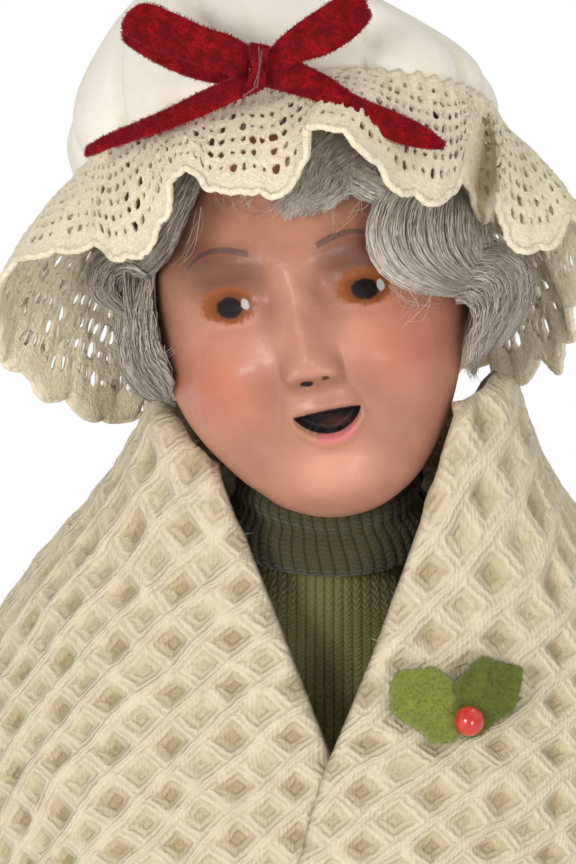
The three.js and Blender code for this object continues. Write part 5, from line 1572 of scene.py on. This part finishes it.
def addHolly():
    low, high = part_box('holly_berry')
    bead = np.array((low + high) / 2) / mm
    share = np.array([holly['shawlShare']])
    reach = holly['shawlReach']
    edge = np.arcsin(np.array([holly['across'] / reach])) - math.tau
    lowEdge = np.arcsin(frontEdge(share, -1) / reach)
    highEdge = np.arcsin(frontEdge(share, 1) / reach) - math.tau
    normal = shawlNormal((edge - lowEdge) / (highEdge - lowEdge), share)[0]
    leaves = {
        'left': ([(389, 684), (398, 671), (434, 668), (450, 681), (466, 697), (474, 722), (452, 741),
                  (432, 744), (421, 733), (405, 723), (390, 713)], 0.1),
        'right': ([(452, 684), (481, 656), (496, 662), (522, 668), (519, 690), (513, 711), (496, 721),
                   (480, 736), (462, 738), (456, 712)], 0.5),
    }
    for word, (outline, lift) in leaves.items():
        material = feltMaterial(word + 'LeafFelt', holly[word + 'Green'])
        leaf = feltLeaf(word + 'Leaf', outline, bead, normal, lift)
        fibres = strandMesh(word + 'LeafFuzz', pileOn([leaf], holly['fuzz'], 0.4, 1.0), 0.032)
        addPiece(word + 'Leaf', joinMeshes(word + 'Leaf', [leaf, fibres]), 'torso', material,
                 ['holly_leaf_' + word])
    bm = bmesh.new()
    bmesh.ops.create_uvsphere(bm, u_segments=48, v_segments=28, radius=holly['beadRadius'])
    bmesh.ops.translate(bm, vec=Vector(bead), verts=bm.verts)
    finish = Finish('paintedBead', holly['red'], Roughness=0.22, Coat_Weight=0.6, Coat_Roughness=0.08)
    mottle = finish.noise(0.7, 4)
    finish.layer(mottle.fade(0.35, 0.7), holly['redLight'])
    mesh = takeMesh(bm, 'hollyBead')
    addPiece('hollyBead', mesh, 'torso', finish.done(mottle, 0.05, 0.5), ['holly_berry'])
    print('holly ready')


# Skirt and padding
skirtCloth = {
    'wine': paint(104, 26, 30),
    'wineDark': paint(66, 12, 18),
    'fuzz': paint(140, 60, 60),
    'batting': paint(232, 228, 218),
    'battingDark': paint(196, 188, 172),
    'stocking': paint(238, 234, 222),
    'stockingDark': paint(214, 206, 188),
    'waistWidth': 20.9,
    'waistDepth': 16.9,
    'waistHeight': 178.6,
    'hemHeight': 20.5,
    'weave': 0.9,
    'folds': 13,
    'foldDepth': 2.2,
    'hemWidth': 46.8,
    'hemDepth': 44.8,
    'thickness': 0.9,
}


def skirtMaterial():
    finish = Finish('skirtWool', skirtCloth['wineDark'], Roughness=1.0, Sheen_Weight=0.1,
                    Specular_IOR_Level=0.1)
    across, along = finish.cloth()
    rate = math.tau / skirtCloth['weave']
    twill = ((across + along) * rate).step('SINE') + ((across - along * 0.4) * rate).step('SINE') * 0.5
    fuzz = finish.noise(2.8, 5, 0.7)
    finish.layer(twill.fade(-1.2, 1.2), skirtCloth['wine'])
    finish.layer(fuzz.fade(0.5, 0.75) * 0.3, skirtCloth['fuzz'])
    return finish.done(twill * 0.5 + fuzz, 0.3, 0.9)


def skirtShape(u, v):
    flare = v ** 0.82
    angle = u * math.tau
    across = skirtCloth['waistWidth'] + (skirtCloth['hemWidth'] - skirtCloth['waistWidth']) * flare
    deep = skirtCloth['waistDepth'] + (skirtCloth['hemDepth'] - skirtCloth['waistDepth']) * flare
    wave = np.cos(skirtCloth['folds'] * angle - 0.8 * np.sin(angle))
    wave = wave + 0.45 * np.cos(7 * angle + 1.3 + 0.6 * v)
    fold = skirtCloth['foldDepth'] * (0.12 + 0.88 * v) * wave * 0.8
    gather = 0.35 * np.sin(52 * angle + 2 * np.sin(3 * angle)) * np.exp(-v * 7)
    slack = 0.5 * ripple(np.cos(angle) * 3, np.sin(angle) * 3, v * 5, 1.0) * v
    hem = 0.6 * smoothStep((v - 0.955) / 0.01)
    reach = fold + gather + slack + hem
    height = skirtCloth['waistHeight'] + (skirtCloth['hemHeight'] - skirtCloth['waistHeight']) * v
    return np.stack([(across + reach) * np.cos(angle), (deep + reach) * np.sin(angle), height], -1)


def softCopy(node, name, voxel, rounds, swell, lumps=0.0):  # the form of a node, meshed evenly and softened
    mesh = closeMesh(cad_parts[node].data.copy(), weld=1e-6)
    soft = evenMesh(mesh, 'REMESH', mode='VOXEL', voxel_size=voxel * mm)
    bm = bmesh.new()
    bm.from_mesh(soft)
    bmesh.ops.scale(bm, vec=(1000, 1000, 1000), verts=bm.verts)
    for _ in range(rounds):
        bmesh.ops.smooth_vert(bm, verts=bm.verts, factor=0.5, use_axis_x=True, use_axis_y=True,
                              use_axis_z=True)
    for vert in bm.verts:
        place = vert.co
        lump = lumps * math.sin(place.x * 0.9 + 2 * math.sin(place.z * 0.5))
        lump *= math.sin(place.y * 0.8 + place.z * 0.6)
        vert.co = place + vert.normal * (swell + lump)
    bm.to_mesh(soft)
    bm.free()
    soft.name = name
    return soft


def addLowerBody():
    material = skirtMaterial()
    cloth = gridMesh('skirtCloth', 338, 48, skirtShape, lambda u, v: np.stack([u * 300, v * 160], -1))
    cloth = closeMesh(cloth, weld=0.02, thickness=skirtCloth['thickness'])
    skirt = addPiece('skirtCloth', cloth, 'torso', material, ['skirt'])

    def bandShape(u, v):
        loop = v * math.tau
        reach = 2.5 + 0.9 * np.cos(loop) + 0.15 * np.sin(u * math.tau * 52)
        return np.stack([(18 + reach) * np.cos(u * math.tau), (14 + reach) * np.sin(u * math.tau),
                         181.9 + 4.0 * np.sin(loop)], -1)

    band = gridMesh('waistband', 208, 20, bandShape, lambda u, v: np.stack([u * 116, v * 14], -1))
    band = closeMesh(band, weld=0.02)
    waist = addPiece('waistband', band, 'torso', material, ['skirt_waistband'])

    batting = cottonMaterial('cottonBatting', 0.6, skirtCloth['batting'], skirtCloth['battingDark'])
    stocking = cottonMaterial('stockingCotton', 1.6, skirtCloth['stocking'], skirtCloth['stockingDark'])
    soft = [  # name, node, body, voxel, rounds, swell, lumps
        ('skirtPadding', 'skirt_padding', 'torso', 2.2, 2, 0.15, 0.25),
        ('bodyPadding', 'body_core', 'torso', 1.2, 1, 0.0, 0.0),
    ]
    for name, node, swell in (('ArmPadding', '_arm_wrap', -0.9), ('ForearmPadding', '_forearm_wrap', 0.0)):
        for word in ('left', 'right'):
            body = word + '_forearm' if 'Fore' in name else 'torso'
            soft.append((word + name, word + node, body, 0.8, 1, swell, 0.0))
    for word in ('left', 'right'):
        soft.append((word + 'Stocking', word + '_leg', 'torso', 0.9, 3, 0.1, 0.06))
    for name, node, body, voxel, rounds, swell, lumps in soft:
        slotName, finish = ('muslin', stocking) if 'Stocking' in name else ('padding', batting)
        form = softCopy(node, name, voxel, rounds, swell, lumps)
        pad = addPiece(name, form, body, finish, [node])

    clayHand = handMaterial()
    for word in ('left', 'right'):
        hand = softCopy(word + '_hand', word + 'Hand', 0.28, 7, 0.14)
        addPiece(word + 'Hand', hand, word + '_hand', clayHand, [word + '_hand'])
    print('lower body ready')


# Boots, wires, pin and base
base = {
    'radius': 47,
    'bottom': 1.3,
    'top': 9.3,
    'bevel': 1.4,
    'oak': paint(122, 82, 50),
    'oakDark': paint(70, 42, 24),
    'felt': paint(46, 74, 44),
    'pore': paint(40, 24, 14),
    'boot': paint(44, 34, 30),
    'sole': paint(30, 24, 20),
    'wire': paint(150, 152, 156),
    'wireDark': paint(96, 92, 88),
}


def woodMaterial():
    finish = Finish('stainedWood', base['oak'], Roughness=0.42, Coat_Weight=0.3, Coat_Roughness=0.25)
    _, y, z = finish.axes(finish.solid)
    ring = ((y + finish.noise(0.05, 3) * 7 + z * 0.4) * 1.1).step('SINE')
    fine = finish.noise(0.9, 6, 0.7)
    pore = ((y * 9 + fine * 4).step('SINE') * finish.noise(0.5, 4)).fade(0.2, 0.5)
    finish.layer(ring.fade(-0.8, 1), base['oakDark'])
    finish.layer(pore * 0.6, base['pore'])
    return finish.done(ring * 0.2 + pore * 0.6 + fine * 0.3, 0.12, 0.6)


def leatherMaterial(name, tone, rough):
    finish = Finish(name, tone, Roughness=rough, Coat_Weight=0.2, Coat_Roughness=0.3)
    finish.layer(finish.noise(0.25, 5, 0.7).fade(0.55, 0.75) * 0.6, tinted(tone, 2.6, 0.01))
    return finish.done(finish.noise(1.6, 4, 0.6), 0.15, 0.7)


def wireMaterial():
    finish = Finish('annealedWire', base['wire'], Roughness=0.38, Metallic=1.0)
    drawn = finish.noise(1.4, 4)
    finish.layer(drawn.fade(0.4, 0.7), base['wireDark'])
    return finish.done(drawn, 0.03, 0.4)


def addBase():
    radius, bottom, top, bevel = base['radius'], base['bottom'], base['top'], base['bevel']
    edge = [(0, bottom), (radius - 0.7, bottom), (radius - 0.2, bottom + 0.25), (radius, bottom + 0.8)]
    for turn in np.linspace(0, math.pi / 2, 7):
        edge.append((radius - bevel + bevel * math.cos(turn), top - bevel + bevel * math.sin(turn)))
    edge += [(radius - 6, top), (0, top)]
    board = spunMesh('woodBoard', edge, 144)
    addPiece('woodBoard', board, 'torso', woodMaterial(), ['base_board'])
    feltEdge = [(0, 0), (43.6, 0), (44, 0.3), (44, 0.8), (43.7, 1.0), (0, 1.0)]
    felt = feltMaterial('baseFelt', base['felt'])
    addPiece('feltPad', spunMesh('feltPad', feltEdge, 144), 'torso', felt, ['base_felt'])
    boot = leatherMaterial('bootLeather', base['boot'], 0.4)
    for word in ('left', 'right'):
        upper = softCopy(word + '_boot', word + 'Boot', 0.6, 5, 0.1)
        addPiece(word + 'Boot', upper, 'torso', boot, [word + '_boot'])
    finishes = {'sole': leatherMaterial('soleLeather', base['sole'], 0.6), 'wire': wireMaterial()}
    finishes['pin'] = finishes['wire']
    for node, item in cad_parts.items():
        for word, material in finishes.items():
            if word in node:
                item.data.materials.clear()
                item.data.materials.append(material)
    print('base ready')


addStudio()
addHead()
addHair()
addCap()
addLace()
addBow()
addSweater()
addShawl()
addHolly()
addLowerBody()
addBase()
